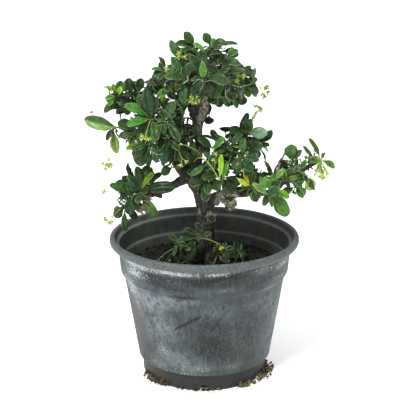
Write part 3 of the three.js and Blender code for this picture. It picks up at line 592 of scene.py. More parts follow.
def shade_smooth(mesh):
    mesh.polygons.foreach_set("use_smooth", np.ones(len(mesh.polygons), bool))


class Patch:
    """The points, faces and values of one piece while it is being made"""

    def __init__(self):
        self.points = []
        self.faces = []
        self.looks = []
        self.tones = []
        self.blades = []
        self.count = 0

    def add(self, points, faces, looks=0, tone=(0, 0, 0), blade=None):
        """Adds a body. tone is one colour for it all or one a point, of three or four numbers."""
        size = len(points)
        tones = np.atleast_2d(np.asarray(tone, float))
        if tones.shape[1] == 3:
            tones = np.hstack([tones, np.ones((len(tones), 1))])
        self.points.append(points)
        self.faces.extend([tuple(index + self.count for index in face) for face in faces])
        self.looks.extend([looks] * len(faces) if isinstance(looks, int) else looks)
        self.tones.append(np.broadcast_to(tones, (size, 4)))
        self.blades.append(np.zeros((size, 3)) if blade is None else blade)
        self.count += size

    def object(self, name, *materials):
        """The piece as a smooth mesh object in metres"""
        mesh = bpy.data.meshes.new(name)
        mesh.from_pydata((np.concatenate(self.points) * MM).tolist(), [], self.faces)
        mesh.update()
        for material in materials:
            mesh.materials.append(material)
        mesh.polygons.foreach_set("material_index", np.array(self.looks, np.int32))
        shade_smooth(mesh)
        keep(mesh, "tone", np.concatenate(self.tones))
        keep(mesh, "blade", np.concatenate(self.blades))
        return link(name, mesh)


def link(name, mesh):
    """A new object with a mesh, in the scene"""
    piece = bpy.data.objects.new(name, mesh)
    bpy.context.scene.collection.objects.link(piece)
    return piece


def settle(piece, slot, *nodes):
    """A finished piece rides with the part and stands for its solids, which it hides. slot is not used."""
    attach(piece, ROOT)
    if nodes:
        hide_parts(*nodes)
    return piece


def applied(piece):
    """Turns a piece's modifiers into its mesh"""
    depsgraph = bpy.context.evaluated_depsgraph_get()
    mesh = bpy.data.meshes.new_from_object(piece.evaluated_get(depsgraph))
    piece.modifiers.clear()
    piece.data = mesh
    return piece


def curve_through(points, values, step):
    """A smooth line through points, with the values between them, about one step apart"""
    points = [point(p) for p in points]
    ends = [2 * points[0] - points[1], *points, 2 * points[-1] - points[-2]]
    places = []
    sizes = []
    for i in range(len(points) - 1):
        a, b, c, d = ends[i:i + 4]
        count = max(1, round(np.linalg.norm(c - b) / step))
        for k in range(count):
            t = k / count
            places.append(0.5 * (2 * b + (c - a) * t + (2 * a - 5 * b + 4 * c - d) * t ** 2
                                 + (3 * b - a - 3 * c + d) * t ** 3))
            eased = t * t * (3 - 2 * t)
            sizes.append(values[i] * (1 - eased) + values[i + 1] * eased)
    return np.array([*places, points[-1]]), np.array([*sizes, values[-1]], float)


def turned_faces(sides, rings):
    """Faces between rings of points that come after a first pole and before a last one"""
    last = 1 + (rings - 1) * sides
    faces = []
    for k in range(sides):
        after = (k + 1) % sides
        faces.append((0, 1 + after, 1 + k))
        for low in range(1, last, sides):
            high = low + sides
            faces.append((low + k, low + after, high + after, high + k))
        faces.append((last + sides, last + k, last + after))
    return faces


def tube(line, radii, sides, relief=None):
    """Points and faces of a closed tube with rounded ends. relief gives each ring a share of its radius."""
    side = across(unit(line[1] - line[0]))[0]
    turns = np.arange(sides) * 2 * math.pi / sides
    rings = []
    for i, place in enumerate(line):
        along = unit(line[min(i + 1, len(line) - 1)] - line[max(i - 1, 0)])
        side = unit(side - along * side.dot(along))
        other = np.cross(along, side)
        reach = radii[i] * (1 + (relief(turns, place) if relief else 0 * turns))
        rings.append(place + np.outer(np.cos(turns) * reach, side) + np.outer(np.sin(turns) * reach, other))
    start = line[0] + unit(line[0] - line[1]) * radii[0] * 0.5
    end = line[-1] + unit(line[-1] - line[-2]) * radii[-1] * 0.6
    return np.vstack([start, *rings, end]), turned_faces(sides, len(line))


# Outlines and heights of a finished leaf
WIDEST = {"large": 0.6, "small": 0.62, "slim": 0.4}
BLUNT = {"large": 2.3, "small": 2.2, "slim": 1.15}
NECK = 0.07
STALK_HALF = {"large": 0.42, "small": 0.42, "slim": 0.22}
RIB_DEPTH = 0.35
EDGE_LIFT = 0.5
SLENDER = {"large": 1.1, "small": 0.86, "slim": 1}
RIB_THICKNESS = 0.62
SLIM_CUP = 0.3


def outline(t, form, blunt):
    """Half width along a spoon-shaped leaf, as a share of its greatest"""
    widest = WIDEST[form]
    rise = np.clip((t - NECK) / (widest - NECK), 0, 1)
    lower = 0.95 * np.sin(rise * math.pi / 2) ** 1.7 + 0.05
    fall = np.clip(t - widest, 0, 1) / (1 - widest)
    return np.where(t < widest, lower, np.sqrt(np.clip(1 - fall ** blunt, 0, 1)))


def leaf_faces(rows, columns):
    """Faces over one leaf's grid: upper side first, then the underside, which shares the leaf's edge"""
    across_count = 2 * columns + 1
    upper = np.arange((rows - 1) * across_count).reshape(rows - 1, across_count)
    apex = upper.size
    lower = upper.copy()
    lower[:, 1:-1] = apex + 1 + np.arange((rows - 1) * (across_count - 2)).reshape(rows - 1, -1)
    faces = []
    looks = []
    for grid, look in ((upper, 0), (lower, 1)):
        for i in range(rows - 1):
            for j in range(across_count - 1):
                if i < rows - 2:
                    face = (grid[i, j], grid[i + 1, j], grid[i + 1, j + 1], grid[i, j + 1])
                else:
                    face = (grid[i, j], apex, grid[i, j + 1])
                faces.append(face if look == 0 else face[::-1])
                looks.append(look)
    faces.append((*upper[0], *lower[0, -2:0:-1]))
    looks.append(1)
    return [tuple(int(index) for index in face) for face in faces], looks


def skin_of(upper, lower, columns):
    """The rows of a grid in the order of leaf_faces: upper side, apex, inner columns of the underside"""
    inner = lower[:-1, 1:-1]
    return np.concatenate([upper[:-1].reshape(-1, 3), upper[-1:, columns], inner.reshape(-1, 3)])


def leaf_points(blade, grid, draw):
    """A finished leaf over the model's blade: folded on its rib, margins rolled down, bowed and twisted"""
    length, _, side, normal = axes(blade)
    t = grid.rows[:, None]
    s = np.linspace(-1, 1, 2 * grid.columns + 1)[None, :]
    blunt = BLUNT[blade.form] * (0.72 + 0.42 * draw())
    widest = blade.width / 2 * SLENDER[blade.form]
    half = np.maximum(widest * outline(t, blade.form, blunt), STALK_HALF[blade.form])
    broad = np.clip(half / widest, 0, 1)
    fold = BLADE_FOLD + 0.12 + 0.45 * draw()
    roll = 0.2 + 0.75 * draw()
    curl = 0.2 * draw()
    twist = math.radians(50 * (draw() - 0.5)) * (t - 0.2)
    wave = (0.2 + 0.75 * draw()) * np.sin(t * (8 + 5 * draw()) + 6 * draw() + 0.8 * s) * s * np.abs(s)
    arch = length * (BLADE_BOW * 4 * t * (1 - t) - curl * t ** 3)
    sway = length * 0.08 * (draw() - 0.5) * np.sin(t * math.pi)
    cup = (EDGE_LIFT * broad + half * fold) * np.abs(s) ** 1.25
    cup = cup - half * roll * broad * s ** 4 - RIB_DEPTH * broad
    if blade.form == "slim":
        cup = cup * SLIM_CUP
    lift = arch + cup + wave * broad + half * s * np.sin(twist)
    reach = half * s * np.cos(twist) + sway
    upper = (blade.base + (blade.tip - blade.base) * t[..., None] + side * reach[..., None]
             + normal * lift[..., None])
    thickness = RIB_THICKNESS * (1 - 0.75 * np.abs(s) ** 0.5) + 0 * t
    lower = upper - normal * thickness[..., None]
    value = np.stack([half * s, t * length + 0 * s, half * (1 - np.abs(s))], -1)
    return skin_of(upper, lower, grid.columns), skin_of(value, value, grid.columns)


Grid = namedtuple("Grid", "rows columns faces looks")


def grid_of(rows, columns):
    return Grid(np.array(rows), columns, *leaf_faces(len(rows), columns))


LARGE_ROWS = [0, 0.05, 0.1, 0.16, 0.23, 0.3, 0.38, 0.46, 0.54, 0.62, 0.7, 0.78, 0.85, 0.91, 0.955, 0.985, 1]
LARGE = grid_of(LARGE_ROWS, 4)
SMALL = grid_of([0, 0.1, 0.22, 0.36, 0.5, 0.64, 0.78, 0.88, 0.96, 1], 3)
COARSE = grid_of([0, 0.13, 0.32, 0.52, 0.72, 0.88, 1], 2)
SLIM = grid_of([0, 0.2, 0.45, 0.7, 0.88, 1], 1)


def add_leaf(patch, blade, tone, draw, grid=LARGE):
    """Adds a finished leaf to a piece, and gives its points"""
    points, values = leaf_points(blade, grid, draw)
    patch.add(points, grid.faces, grid.looks, tone, values)
    return points


class Graph:
    """A material's nodes, added one call at a time"""

    def __init__(self, name):
        self.material = bpy.data.materials.new(name)
        self.material.use_nodes = True
        self.tree = self.material.node_tree
        self.shader = self.tree.nodes["Principled BSDF"]

    def node(self, kind, **settings):
        made = self.tree.nodes.new(kind)
        for key, value in settings.items():
            setattr(made, key, value)
        return made

    def feed(self, socket, value):
        """Links a socket to another's output, or sets it to a number or colour"""
        if isinstance(value, bpy.types.NodeSocket):
            self.tree.links.new(value, socket)
        elif hasattr(value, "__len__") and len(value) == 3 and len(socket.default_value) == 4:
            socket.default_value = (*value, 1)
        else:
            socket.default_value = value

    def attribute(self, name, output="Vector"):
        return self.node("ShaderNodeAttribute", attribute_name=name).outputs[output]

    def parts(self, vector):
        split = self.node("ShaderNodeSeparateXYZ")
        self.feed(split.inputs[0], vector)
        return split.outputs

    def math(self, operation, *values):
        made = self.node("ShaderNodeMath", operation=operation)
        for socket, value in zip(made.inputs, values):
            self.feed(socket, value)
        return made.outputs[0]

    def times(self, *values):
        product = values[0]
        for value in values[1:]:
            product = self.math("MULTIPLY", product, value)
        return product

    def ramp(self, value, low, high, start=0.0, end=1.0):
        """A smooth change from start to end while value goes from low to high"""
        made = self.node("ShaderNodeMapRange", interpolation_type="SMOOTHSTEP")
        for socket, number in zip(made.inputs, (value, low, high, start, end)):
            self.feed(socket, number)
        return made.outputs[0]

    def blend(self, factor, first, second, mode="MIX"):
        made = self.node("ShaderNodeMix", data_type="RGBA", blend_type=mode)
        self.feed(made.inputs[0], factor)
        self.feed(made.inputs[6], first)
        self.feed(made.inputs[7], second)
        return made.outputs[2]

    def tinted(self, colour, factors):
        return self.blend(1.0, colour, factors, "MULTIPLY")

    def paint(self, colour, factor, rgb):
        """Lays a colour of 0 to 255 steps over another, as far as factor says"""
        return self.blend(factor, colour, linear(rgb))

    def coats(self, colour, *layers):
        """Lays coats over a colour, each as (noise, low, high, most, rgb), from low noise to high"""
        for cover, low, high, most, rgb in layers:
            colour = self.paint(colour, self.ramp(cover, low, high, 0, most), rgb)
        return colour

    def mottled(self, cover, low, high, first, second):
        """One colour of 0 to 255 steps changing to another while a noise goes from low to high"""
        return self.blend(self.ramp(cover, low, high), linear(first), linear(second))

    def place(self, stretch=(1, 1, 1)):
        """The part's own coordinates in metres, stretched"""
        mapping = self.node("ShaderNodeMapping")
        self.feed(mapping.inputs[0], self.node("ShaderNodeTexCoord").outputs["Object"])
        mapping.inputs["Scale"].default_value = stretch
        return mapping.outputs[0]

    def grain(self, size, detail=4, rough=0.55, stretch=(1, 1, 1)):
        """Cloudy noise whose spots are about size millimetres wide"""
        made = self.node("ShaderNodeTexNoise")
        self.feed(made.inputs["Vector"], self.place(stretch))
        made.inputs["Scale"].default_value = 1 / (size * MM)
        made.inputs["Detail"].default_value = detail
        made.inputs["Roughness"].default_value = rough
        return made.outputs[0]

    def cells(self, size, feature="F1", stretch=(1, 1, 1)):
        made = self.node("ShaderNodeTexVoronoi", feature=feature)
        self.feed(made.inputs["Vector"], self.place(stretch))
        made.inputs["Scale"].default_value = 1 / (size * MM)
        return made.outputs[0]

    def finish(self, colour, roughness, height=None, depth=0.2, **settings):
        """Wires colour, roughness and a relief depth millimetres deep into the shader"""
        self.feed(self.shader.inputs["Base Color"], colour)
        self.feed(self.shader.inputs["Roughness"], roughness)
        if height is not None:
            bump = self.node("ShaderNodeBump")
            bump.inputs["Distance"].default_value = depth * MM
            self.feed(bump.inputs["Height"], height)
            self.feed(self.shader.inputs["Normal"], bump.outputs[0])
        for name, value in settings.items():
            self.shader.inputs[name.replace("_", " ")].default_value = value
        return self.material


RIB_COLOUR = linear((140, 168, 96))
MARGIN_COLOUR = linear((164, 184, 132))
VEIN_SPACING = 2.3
VEIN_SLANT = 0.9


def leaf_upper_look():
    """Dark waxy green with a thin pale rib, a pale margin that is partly painted highlight, faint side veins
    and cloudy mottling
    """
    g = Graph("leaf_upper")
    tone = g.attribute("tone", "Color")
    seed = g.attribute("tone", "Alpha")
    lateral, along, edge = g.parts(g.attribute("blade"))
    aside = g.math("ABSOLUTE", lateral)
    rib = g.ramp(aside, 0.1, 0.45, 1, 0)
    drift = g.times(g.grain(5, 2), 0.5)
    rank = g.math("SUBTRACT", g.math("DIVIDE", along, VEIN_SPACING), g.times(aside, VEIN_SLANT / 2))
    rank = g.math("ADD", rank, g.math("ADD", drift, seed))
    wave = g.math("ABSOLUTE", g.math("SUBTRACT", g.math("FRACT", rank), 0.5))
    veins = g.times(g.ramp(wave, 0.02, 0.14, 1, 0), g.ramp(edge, 0.3, 1.6))
    mottle = g.grain(3.2, 5, 0.65)
    patch = g.grain(8, 2)
    deep = g.tinted(tone, (0.46, 0.52, 0.56))
    pale = g.paint(g.tinted(tone, (1.25, 1.2, 1.05)), 0.08, (150, 172, 110))
    colour = g.blend(g.ramp(mottle, 0.32, 0.7), deep, pale)
    colour = g.blend(g.ramp(patch, 0.4, 0.72, 0, 0.55), colour, deep)
    colour = g.blend(g.times(veins, 0.14), colour, RIB_COLOUR)
    dots = g.times(g.ramp(g.cells(1.35), 0.08, 0.3, 1, 0), g.ramp(g.grain(7, 3), 0.4, 0.62, 0.05, 0.3))
    colour = g.blend(dots, colour, MARGIN_COLOUR)
    # Pale margin: partly the leaf's own paler edge, partly a painted highlight where the rolled edge catches
    # light
    rim = g.times(g.ramp(edge, 0.3, 0.95, 0.95, 0), g.ramp(g.grain(6, 3), 0.4, 0.56, 0.15, 1))
    margin_and_highlight = g.blend(0.6, g.tinted(tone, (2.4, 2.2, 2.2)), MARGIN_COLOUR)
    colour = g.blend(g.times(rim, g.ramp(seed, 0.1, 0.7, 0.45, 1)), colour, margin_and_highlight)
    colour = g.blend(g.times(rib, g.ramp(seed, 0.2, 0.9, 0.3, 0.06)), colour, RIB_COLOUR)
    height = g.math("ADD", g.times(g.math("ADD", g.times(veins, 0.6), rib), -0.8), g.times(mottle, 0.5))
    roughness = g.ramp(g.grain(4, 3), 0.3, 0.75, 0.17, 0.38)
    return g.finish(colour, roughness, height, 0.6, Specular_IOR_Level=0.22)


def leaf_under_look():
    """The duller, paler underside with a raised rib"""
    g = Graph("leaf_under")
    tone = g.attribute("tone", "Color")
    lateral = g.parts(g.attribute("blade"))[0]
    rib = g.ramp(g.math("ABSOLUTE", lateral), 0.15, 0.55, 1, 0)
    pale = g.paint(tone, 0.2, (104, 132, 98))
    dark = g.paint(tone, 0.5, (52, 78, 50))
    colour = g.blend(g.ramp(g.grain(3, 4), 0.35, 0.7, 0, 0.7), pale, dark)
    colour = g.blend(g.times(rib, 0.5), colour, RIB_COLOUR)
    return g.finish(colour, 0.6, rib, 0.4, Specular_IOR_Level=0.15)


def stem_look():
    """Stems and stalks, coloured along their length by the tone attribute"""
    g = Graph("stem")
    tone = g.attribute("tone", "Color")
    dark = g.tinted(tone, (0.45, 0.42, 0.4))
    colour = g.blend(g.ramp(g.grain(1.6, 4), 0.35, 0.7, 0, 0.8), tone, dark)
    roughness = g.ramp(g.grain(2, 3), 0.3, 0.7, 0.5, 0.75)
    return g.finish(colour, roughness, g.grain(0.8, 4), 0.15, Specular_IOR_Level=0.3)


def petal_look():
    """Thin petals, sepals and buds, each mottled with a lighter tone"""
    g = Graph("petal")
    tone = g.attribute("tone", "Color")
    light = g.paint(tone, 0.3, (226, 236, 150))
    colour = g.blend(g.ramp(g.grain(1.4, 3), 0.35, 0.7, 0, 0.6), tone, light)
    roughness = g.ramp(g.grain(2, 3), 0.3, 0.7, 0.42, 0.6)
    return g.finish(colour, roughness, g.grain(0.9, 3), 0.1, Specular_IOR_Level=0.3)


# How high up the trunk its foot is coloured darker and greener, in metres
DARKER_FOOT_REACH = (0.155, 0.202)


def bark_look():
    """Near-black furrowed bark with grey and cream patches, and painted shade in its furrows. The blade
    attribute holds furrow, lichen and paleness."""
    g = Graph("bark")
    furrow, lichen, pale = g.parts(g.attribute("blade"))
    fine = g.grain(1.3, 6, 0.72)
    specks = g.grain(2.6, 5, 0.7)
    colour = g.mottled(fine, 0.34, 0.7, (27, 26, 24), (106, 102, 92))
    colour = g.coats(colour, (g.grain(8, 4, 0.6), 0.45, 0.66, 0.6, (96, 90, 78)))
    worn = g.times(g.ramp(pale, 0.1, 0.8), g.ramp(specks, 0.36, 0.6))
    colour = g.paint(colour, worn, (176, 172, 152))
    crust = g.times(g.ramp(lichen, 0.1, 0.7), g.ramp(specks, 0.34, 0.52))
    colour = g.paint(colour, crust, (196, 194, 170))
    # Painted shade: the furrows are painted near-black
    colour = g.paint(colour, g.times(furrow, 0.85), (10, 10, 9))
    # Darker and greener towards the foot of the trunk
    darker_foot = g.ramp(g.parts(g.place())[2], *DARKER_FOOT_REACH, 0.5, 0)
    colour = g.paint(colour, darker_foot, (22, 32, 26))
    height = g.math("ADD", fine, g.times(g.cells(1.8), 0.6))
    return g.finish(colour, g.ramp(fine, 0.3, 0.7, 0.8, 0.97), height, 0.8, Specular_IOR_Level=0.2)


BARK_RELIEF = 0.09
WOOD_VOXEL = 0.8
CRUST_VOXEL = 0.5
CRUST_DEPTH = 1.2
CRUST_GRIT = 0.28
FURROW_DEPTH = 0.9
LUMP_HEIGHT = 0.6
GRAIN_ACROSS = 0.55
GRAIN_ALONG = 0.11
# Below which noise the bark starts to crack, and how soft the edge is
CRACK_EDGE = 0.36
CRACK_FADE = 0.22
# Thinner wood than this radius has a lower relief
THICK_WOOD = 6

Crust = namedtuple("Crust", "middle reach count sizes")

# Where lichen crusts and warty bark sit: middle, half sizes of the patch, how many lumps, and their sizes
CRUSTS = [
    Crust((18, -13, 197), (6, 5, 5), 50, (0.8, 1.8)), Crust((25, -14, 196), (8, 6, 7), 100, (0.8, 2.0)),
    Crust((27, -14, 186), (6, 5, 6), 70, (0.8, 1.9)), Crust((34, -14, 190), (2.5, 3, 5), 16, (0.6, 1.4)),
    Crust((26, -14, 203), (7, 5, 3.5), 30, (0.7, 1.5)), Crust((9, -8, 172), (4, 4, 6.5), 60, (0.8, 1.7)),
    Crust((93, -5, 215), (9, 4, 5), 60, (0.6, 1.4)), Crust((-12, -3, 288), (4, 3, 5), 10, (0.6, 1.2)),
]

# Swellings where the crown's boughs leave the trunk: place and radius
FLARE = [
    ((-14, 0, 293), 6.2), ((-12, -1, 286), 6.4), ((-11, 0, 279), 5.6), ((-8, 1, 272), 5.4),
    ((2, 0, 292), 5.4),
]


def ridges(turns, place):
    """The model's own ridges round a bough, as a share of its radius"""
    swell = np.sin(3 * turns + place[2] * 0.09) + 0.6 * np.sin(2 * turns - place[2] * 0.31)
    return BARK_RELIEF * swell


def wood_lines():
    """The middle lines and radii of all boughs and surface roots"""
    lines = [curve_through(points, radii, 2) for points, radii in BOUGHS.values()]
    for bearing in ROOT_BEARINGS:
        turn = math.radians(bearing)
        places = [(*around(turn, reach), z) for reach, z in ROOT_PLACES]
        lines.append(curve_through(places, ROOT_RADII, 2))
    return lines


def ball(middle, radius, subdivisions=2):
    """Points and faces of a round lump"""
    made = bmesh.new()
    bmesh.ops.create_icosphere(made, subdivisions=subdivisions, radius=radius)
    points = np.array([v.co for v in made.verts]) + middle
    faces = [tuple(v.index for v in face.verts) for face in made.faces]
    made.free()
    return points, faces


def melted(piece, voxel, smoothing):
    """Melts overlapping bodies into one skin"""
    remesh = piece.modifiers.new("skin", "REMESH")
    remesh.mode = "VOXEL"
    remesh.voxel_size = voxel * MM
    smooth = piece.modifiers.new("smooth", "SMOOTH")
    smooth.iterations = smoothing
    return applied(piece)


def weathered(piece, relief):
    """Moves a piece's skin along its normals. relief gives a height and some values to keep, by place."""
    mesh = piece.data
    moved = []
    kept = []
    for vertex in mesh.vertices:
        height, values = relief(vertex.co / MM)
        moved.append(vertex.co + vertex.normal * height * MM)
        kept.append(values)
    mesh.vertices.foreach_set("co", np.array(moved, np.float32).ravel())
    shade_smooth(mesh)
    mesh.update()
    return kept


def wood_piece(lines):
    """All the wood in one skin: tubes, roots and lumps melted together, then furrowed along the grain"""
    patch = Patch()
    for line, radii in lines:
        patch.add(*tube(line, radii, BOUGH_SIDES, ridges))
    for middle, radius in LUMPS + FLARE:
        patch.add(*ball(point(middle), radius * 0.9))
    piece = melted(patch.object("trunk_bark"), WOOD_VOXEL, 2)
    furrow_wood(piece, lines)
    return piece


def crust_relief(place):
    """Grit on the crusts, with furrow, lichen and paleness for the bark's look: the hollows between the grit
    are kept as furrow, a painted shade, and the raised grit is a little paler, a painted light
    """
    grit = noise.noise(place * 0.9) + 0.6 * noise.noise(place * 2.1)
    cream = 0.45 + 2.4 * noise.noise(place * 0.3) + 0.6 * grit
    return CRUST_GRIT * grit, (held(-1.8 * grit), held(cream), 0)


def crust_piece(lines):
    """Popcorn-like lichen crusts, as small uneven lumps that grow on the bark and on each other"""
    rng = np.random.default_rng(SEEDS["crust"])
    knots = [*LUMPS, CRUST_ROOT]
    starts = np.concatenate([line for line, _ in lines] + [[middle] for middle, _ in knots])
    sizes = np.concatenate([radii for _, radii in lines] + [[radius] for _, radius in knots])
    patch = Patch()
    for crust in CRUSTS:
        for _ in range(crust.count):
            way = unit(rng.normal(size=3))
            middle = point(crust.middle) + way * crust.reach * rng.uniform(0.5, 1.05)
            radius = rng.uniform(*crust.sizes)
            depth = np.linalg.norm(starts - middle, axis=1) - sizes
            if -CRUST_DEPTH < depth.min() < radius * 0.7:
                points, faces = ball(np.zeros(3), radius, 1)
                patch.add(points * rng.uniform(0.7, 1.3, 3) + middle, faces)
    piece = melted(patch.object("lichen_crust"), CRUST_VOXEL, 1)
    keep(piece.data, "blade", weathered(piece, crust_relief))
    return piece


def furrow_wood(piece, lines):
    """Furrows the skin along the grain, and keeps furrow, lichen and paleness for the bark's look; the look
    paints the furrows near-black as shade
    """
    tree = KDTree(sum(len(line) for line, _ in lines))
    centres = []
    for line, radii in lines:
        for place, way, radius, distance in zip(line, np.gradient(line, axis=0), radii, travelled(line)):
            tree.insert(Vector(place), len(centres))
            centres.append((Vector(place), Vector(way).normalized(), radius, distance))
    tree.balance()

    def relief(place):
        _, index, _ = tree.find(place)
        centre, way, radius, distance = centres[index]
        out = place - centre
        out -= way * out.dot(way)
        grain = out * GRAIN_ACROSS + way * (distance + (place - centre).dot(way)) * GRAIN_ALONG
        crack = noise.turbulence(grain, 3, True, noise_basis="PERLIN_ORIGINAL")
        lump = noise.noise(place * 0.32) + 0.5 * noise.noise(place * 0.8)
        furrow = held((CRACK_EDGE - crack) / CRACK_FADE)
        height = (-FURROW_DEPTH * furrow + LUMP_HEIGHT * lump) * min(1, radius / THICK_WOOD)
        return height, (furrow, near(place, LICHEN_SPOTS), near(place, PALE_SPOTS))

    keep(piece.data, "blade", weathered(piece, relief))


def near(place, spots):
    """How far inside the nearest of some soft round spots a place is, from 0 to 1"""
    return held(1.7 * max(1 - (place - Vector(middle)).length / reach for middle, reach in spots))


LICHEN_SPOTS = [((24, -14, 192), 16), ((93, -8, 216), 10), ((8, -8, 172), 8), ((10, -8, 128), 12)]
PALE_SPOTS = [
    ((74, -8, 211), 7), ((77, -8, 224), 8), ((82, -6, 236), 8), ((52, -18, 199), 6), ((3, -6, 293), 8),
    ((1, -7, 284), 8), ((-2, -7, 275), 8), ((-5, -6, 266), 8), ((0, -6, 252), 8), ((-5, -8, 242), 8),
    ((-8, -7, 176), 6), ((3, -6, 150), 6), ((60, -15, 199), 14), ((15, -12, 188), 8),
]


POT_SEGMENTS = 216
POT_STEP = 2.2
# How far each corner of the pot's profile is rounded, and the wider ones by their place in it
CORNER_REACH = 1.1
WIDE_CORNERS = {4: 3.2, 5: 2.4, 6: 2.2, 7: 2.2, 8: 2.6, 9: 2.4}
# From where to where the notches are cut, out from the pot's axis
NOTCH_REACH = (58, 72)
SHARP_ANGLE = math.radians(40)


def turned(profile, segments, step):
    """A solid turned from a half section, with points about a step apart on its straight stretches"""
    line = []
    for (r1, z1), (r2, z2) in zip(profile, profile[1:]):
        count = max(1, math.ceil(math.hypot(r2 - r1, z2 - z1) / step))
        line.extend((r1 + (r2 - r1) * k / count, z1 + (z2 - z1) * k / count) for k in range(count))
    line = np.array([*line, profile[-1]])
    turns = np.arange(segments) * 2 * math.pi / segments
    body = line[1:-1]
    rings = np.stack([np.outer(body[:, 0], np.cos(turns)), np.outer(body[:, 0], np.sin(turns)),
                      np.repeat(body[:, 1:], segments, 1)], -1)
    points = np.vstack([(0, 0, line[0][1]), rings.reshape(-1, 3), (0, 0, line[-1][1])])
    return points, turned_faces(segments, len(body))


def rounded(profile, corners, steps=3):
    """A profile with some of its corners turned into small arcs. corners gives each one's reach."""
    smooth = []
    for i, corner in enumerate(profile):
        if i not in corners:
            smooth.append(corner)
            continue
        before, here, after = (point(p) for p in profile[i - 1:i + 2])
        start, end = (here + unit(to - here) * min(corners[i], np.linalg.norm(to - here) * 0.45)
                      for to in (before, after))
        for k in range(steps + 1):
            t = k / steps
            smooth.append(tuple(start * (1 - t) ** 2 + 2 * here * t * (1 - t) + end * t * t))
    return smooth


def notch_cutter():
    """Bars with arched tops, where the notches go through the foot"""
    half = NOTCH_WIDTH / 2
    arch = [(-half, -1), (half, -1)]
    arch += [(half * math.cos(a), NOTCH_HEIGHT * (0.45 + 0.55 * math.sin(a)))
             for a in np.linspace(0, math.pi, 9)]
    count = len(arch)
    faces = [tuple(range(count - 1, -1, -1)), tuple(range(count, 2 * count))]
    faces += [(k, (k + 1) % count, count + (k + 1) % count, count + k) for k in range(count)]
    patch = Patch()
    for i in range(NOTCH_COUNT):
        turn = math.radians(i * 360 / NOTCH_COUNT - 90)
        out = np.array([math.cos(turn), math.sin(turn), 0])
        along = np.array([-math.sin(turn), math.cos(turn), 0])
        points = [out * reach + along * x + UP * z for reach in NOTCH_REACH for x, z in arch]
        patch.add(np.array(points), faces)
    return patch.object("notch_cutter")


def pot_piece(material):
    """The pot: turned with rounded corners, with arched notches cut through its foot"""
    reaches = {i: CORNER_REACH for i in range(1, len(POT_PROFILE) - 1)}
    reaches.update(WIDE_CORNERS)
    patch = Patch()
    patch.add(*turned(rounded(POT_PROFILE, reaches), POT_SEGMENTS, POT_STEP))
    piece = patch.object("pot_shell", material)
    cutter = notch_cutter()
    cut = piece.modifiers.new("notches", "BOOLEAN")
    cut.operation = "DIFFERENCE"
    cut.object = cutter
    cut.solver = "EXACT"
    applied(piece)
    bpy.data.objects.remove(cutter)
    mark_pot(piece)
    shade_smooth(piece.data)
    piece.data.set_sharp_from_angle(angle=SHARP_ANGLE)
    return piece


# Weathering of the pot's outside, with some painted light and shade in it. Each mark is at a bearing from the
# front in degrees and a height, with its half width in degrees, its half height in millimetres and its
# strength.
# Lavender bloom; strongest on the upper left, where it is partly a painted light falling from the left
BLOOM_AND_LIGHT_MARKS = [
    (-40, 98, 20, 15, 1.0), (-22, 104, 18, 10, 0.8), (-36, 72, 16, 24, 0.8), (-22, 36, 24, 12, 0.6),
    (8, 96, 20, 14, 0.3), (52, 96, 22, 16, 0.55), (68, 60, 18, 44, 0.55), (30, 70, 14, 30, 0.2),
    (150, 90, 40, 26, 0.7), (-120, 70, 34, 32, 0.6), (118, 40, 28, 20, 0.5),
]
SALT_MARKS = [
    (70, 70, 9, 44, 0.42), (60, 119, 16, 8, 0.5), (-50, 136, 26, 4.6, 1.0), (-20, 136.8, 26, 4, 0.98),
    (8, 137, 16, 3.2, 0.85), (42, 134, 12, 5, 0.6), (62, 132, 16, 6, 0.7), (-52, 127, 16, 9, 0.85),
    (-24, 128, 16, 5, 0.45), (-6, 27, 30, 7, 0.46), (26, 28, 14, 5, 0.44), (-34, 44, 9, 9, 0.55),
    (-40, 26, 14, 6, 0.5), (10, 119, 12, 3, 0.45), (-15, 20.5, 44, 2.4, 0.5), (140, 137, 50, 5, 0.9),
    (-130, 135, 40, 7, 0.8), (170, 34, 30, 7, 0.6), (-62, 108, 12, 18, 0.8), (-56, 88, 9, 26, 0.5),
    (48, 111.5, 20, 3, 0.5),
]
# Dark stains and scuffs; those at 110 to 113 mm high are a painted shadow under the step in the wall
STAIN_AND_SHADE_MARKS = [
    (-36, 128, 30, 5, 1.0), (-8, 130, 16, 4, 0.8), (20, 132, 16, 4, 0.7), (-20, 119, 16, 3, 0.7),
    (-14, 110.5, 14, 3, 0.9), (10, 52, 26, 26, 0.62), (32, 66, 18, 30, 0.5), (4, 78, 18, 18, 0.5),
    (-57, 72, 11, 22, 0.45), (-34, 124, 24, 7, 0.85), (-4, 127, 14, 5, 0.75), (36, 112, 20, 4, 0.5),
    (-44, 113, 16, 3, 0.6), (100, 80, 20, 24, 0.5), (-165, 50, 26, 24, 0.5), (52, 122, 16, 7, 0.45),
    (14, 126, 18, 6, 0.55),
]
BROWN_MARKS = [
    (-60, 66, 12, 30, 0.85), (20, 50, 10, 12, 0.4), (-52, 12, 20, 8, 0.6), (20, 9, 40, 7, 0.12),
    (70, 14, 18, 10, 0.7), (160, 12, 60, 8, 0.5), (-60, 140, 14, 10, 0.25),
]
# Rubbed streaks: from one bearing and height to another, half width and strength
STREAKS = [
    (-22, 72, -2, 90, 1.9, 1.0), (1, 130, 24, 136, 2.8, 0.95), (26, 118, 60, 126, 1.6, 0.5),
    (26, 84, 34, 87, 1.0, 0.6), (120, 60, 140, 76, 2.0, 0.7),
]
MEAN_RADIUS = 80
FOOT_TOP = 17.8
# Pale lines painted along the two ledges inside the pot, as painted highlights: their radius and height
LEDGE_HIGHLIGHTS = [(87.2, 124.4), (91.5, 142.8)]
# How far behind the outer wall the inside begins, and up to what height
INSIDE_DEPTH = 0.8
INSIDE_TOP = 148


def soft_marks(bearing, height, marks):
    """The strength of the strongest of some soft oval marks, at bearings and heights"""
    total = np.zeros_like(bearing)
    for middle, level, wide, tall, strength in marks:
        turn = (bearing - middle + 180) % 360 - 180
        total = np.maximum(total, strength * np.exp(-(turn / wide) ** 2 - ((height - level) / tall) ** 2))
    return total


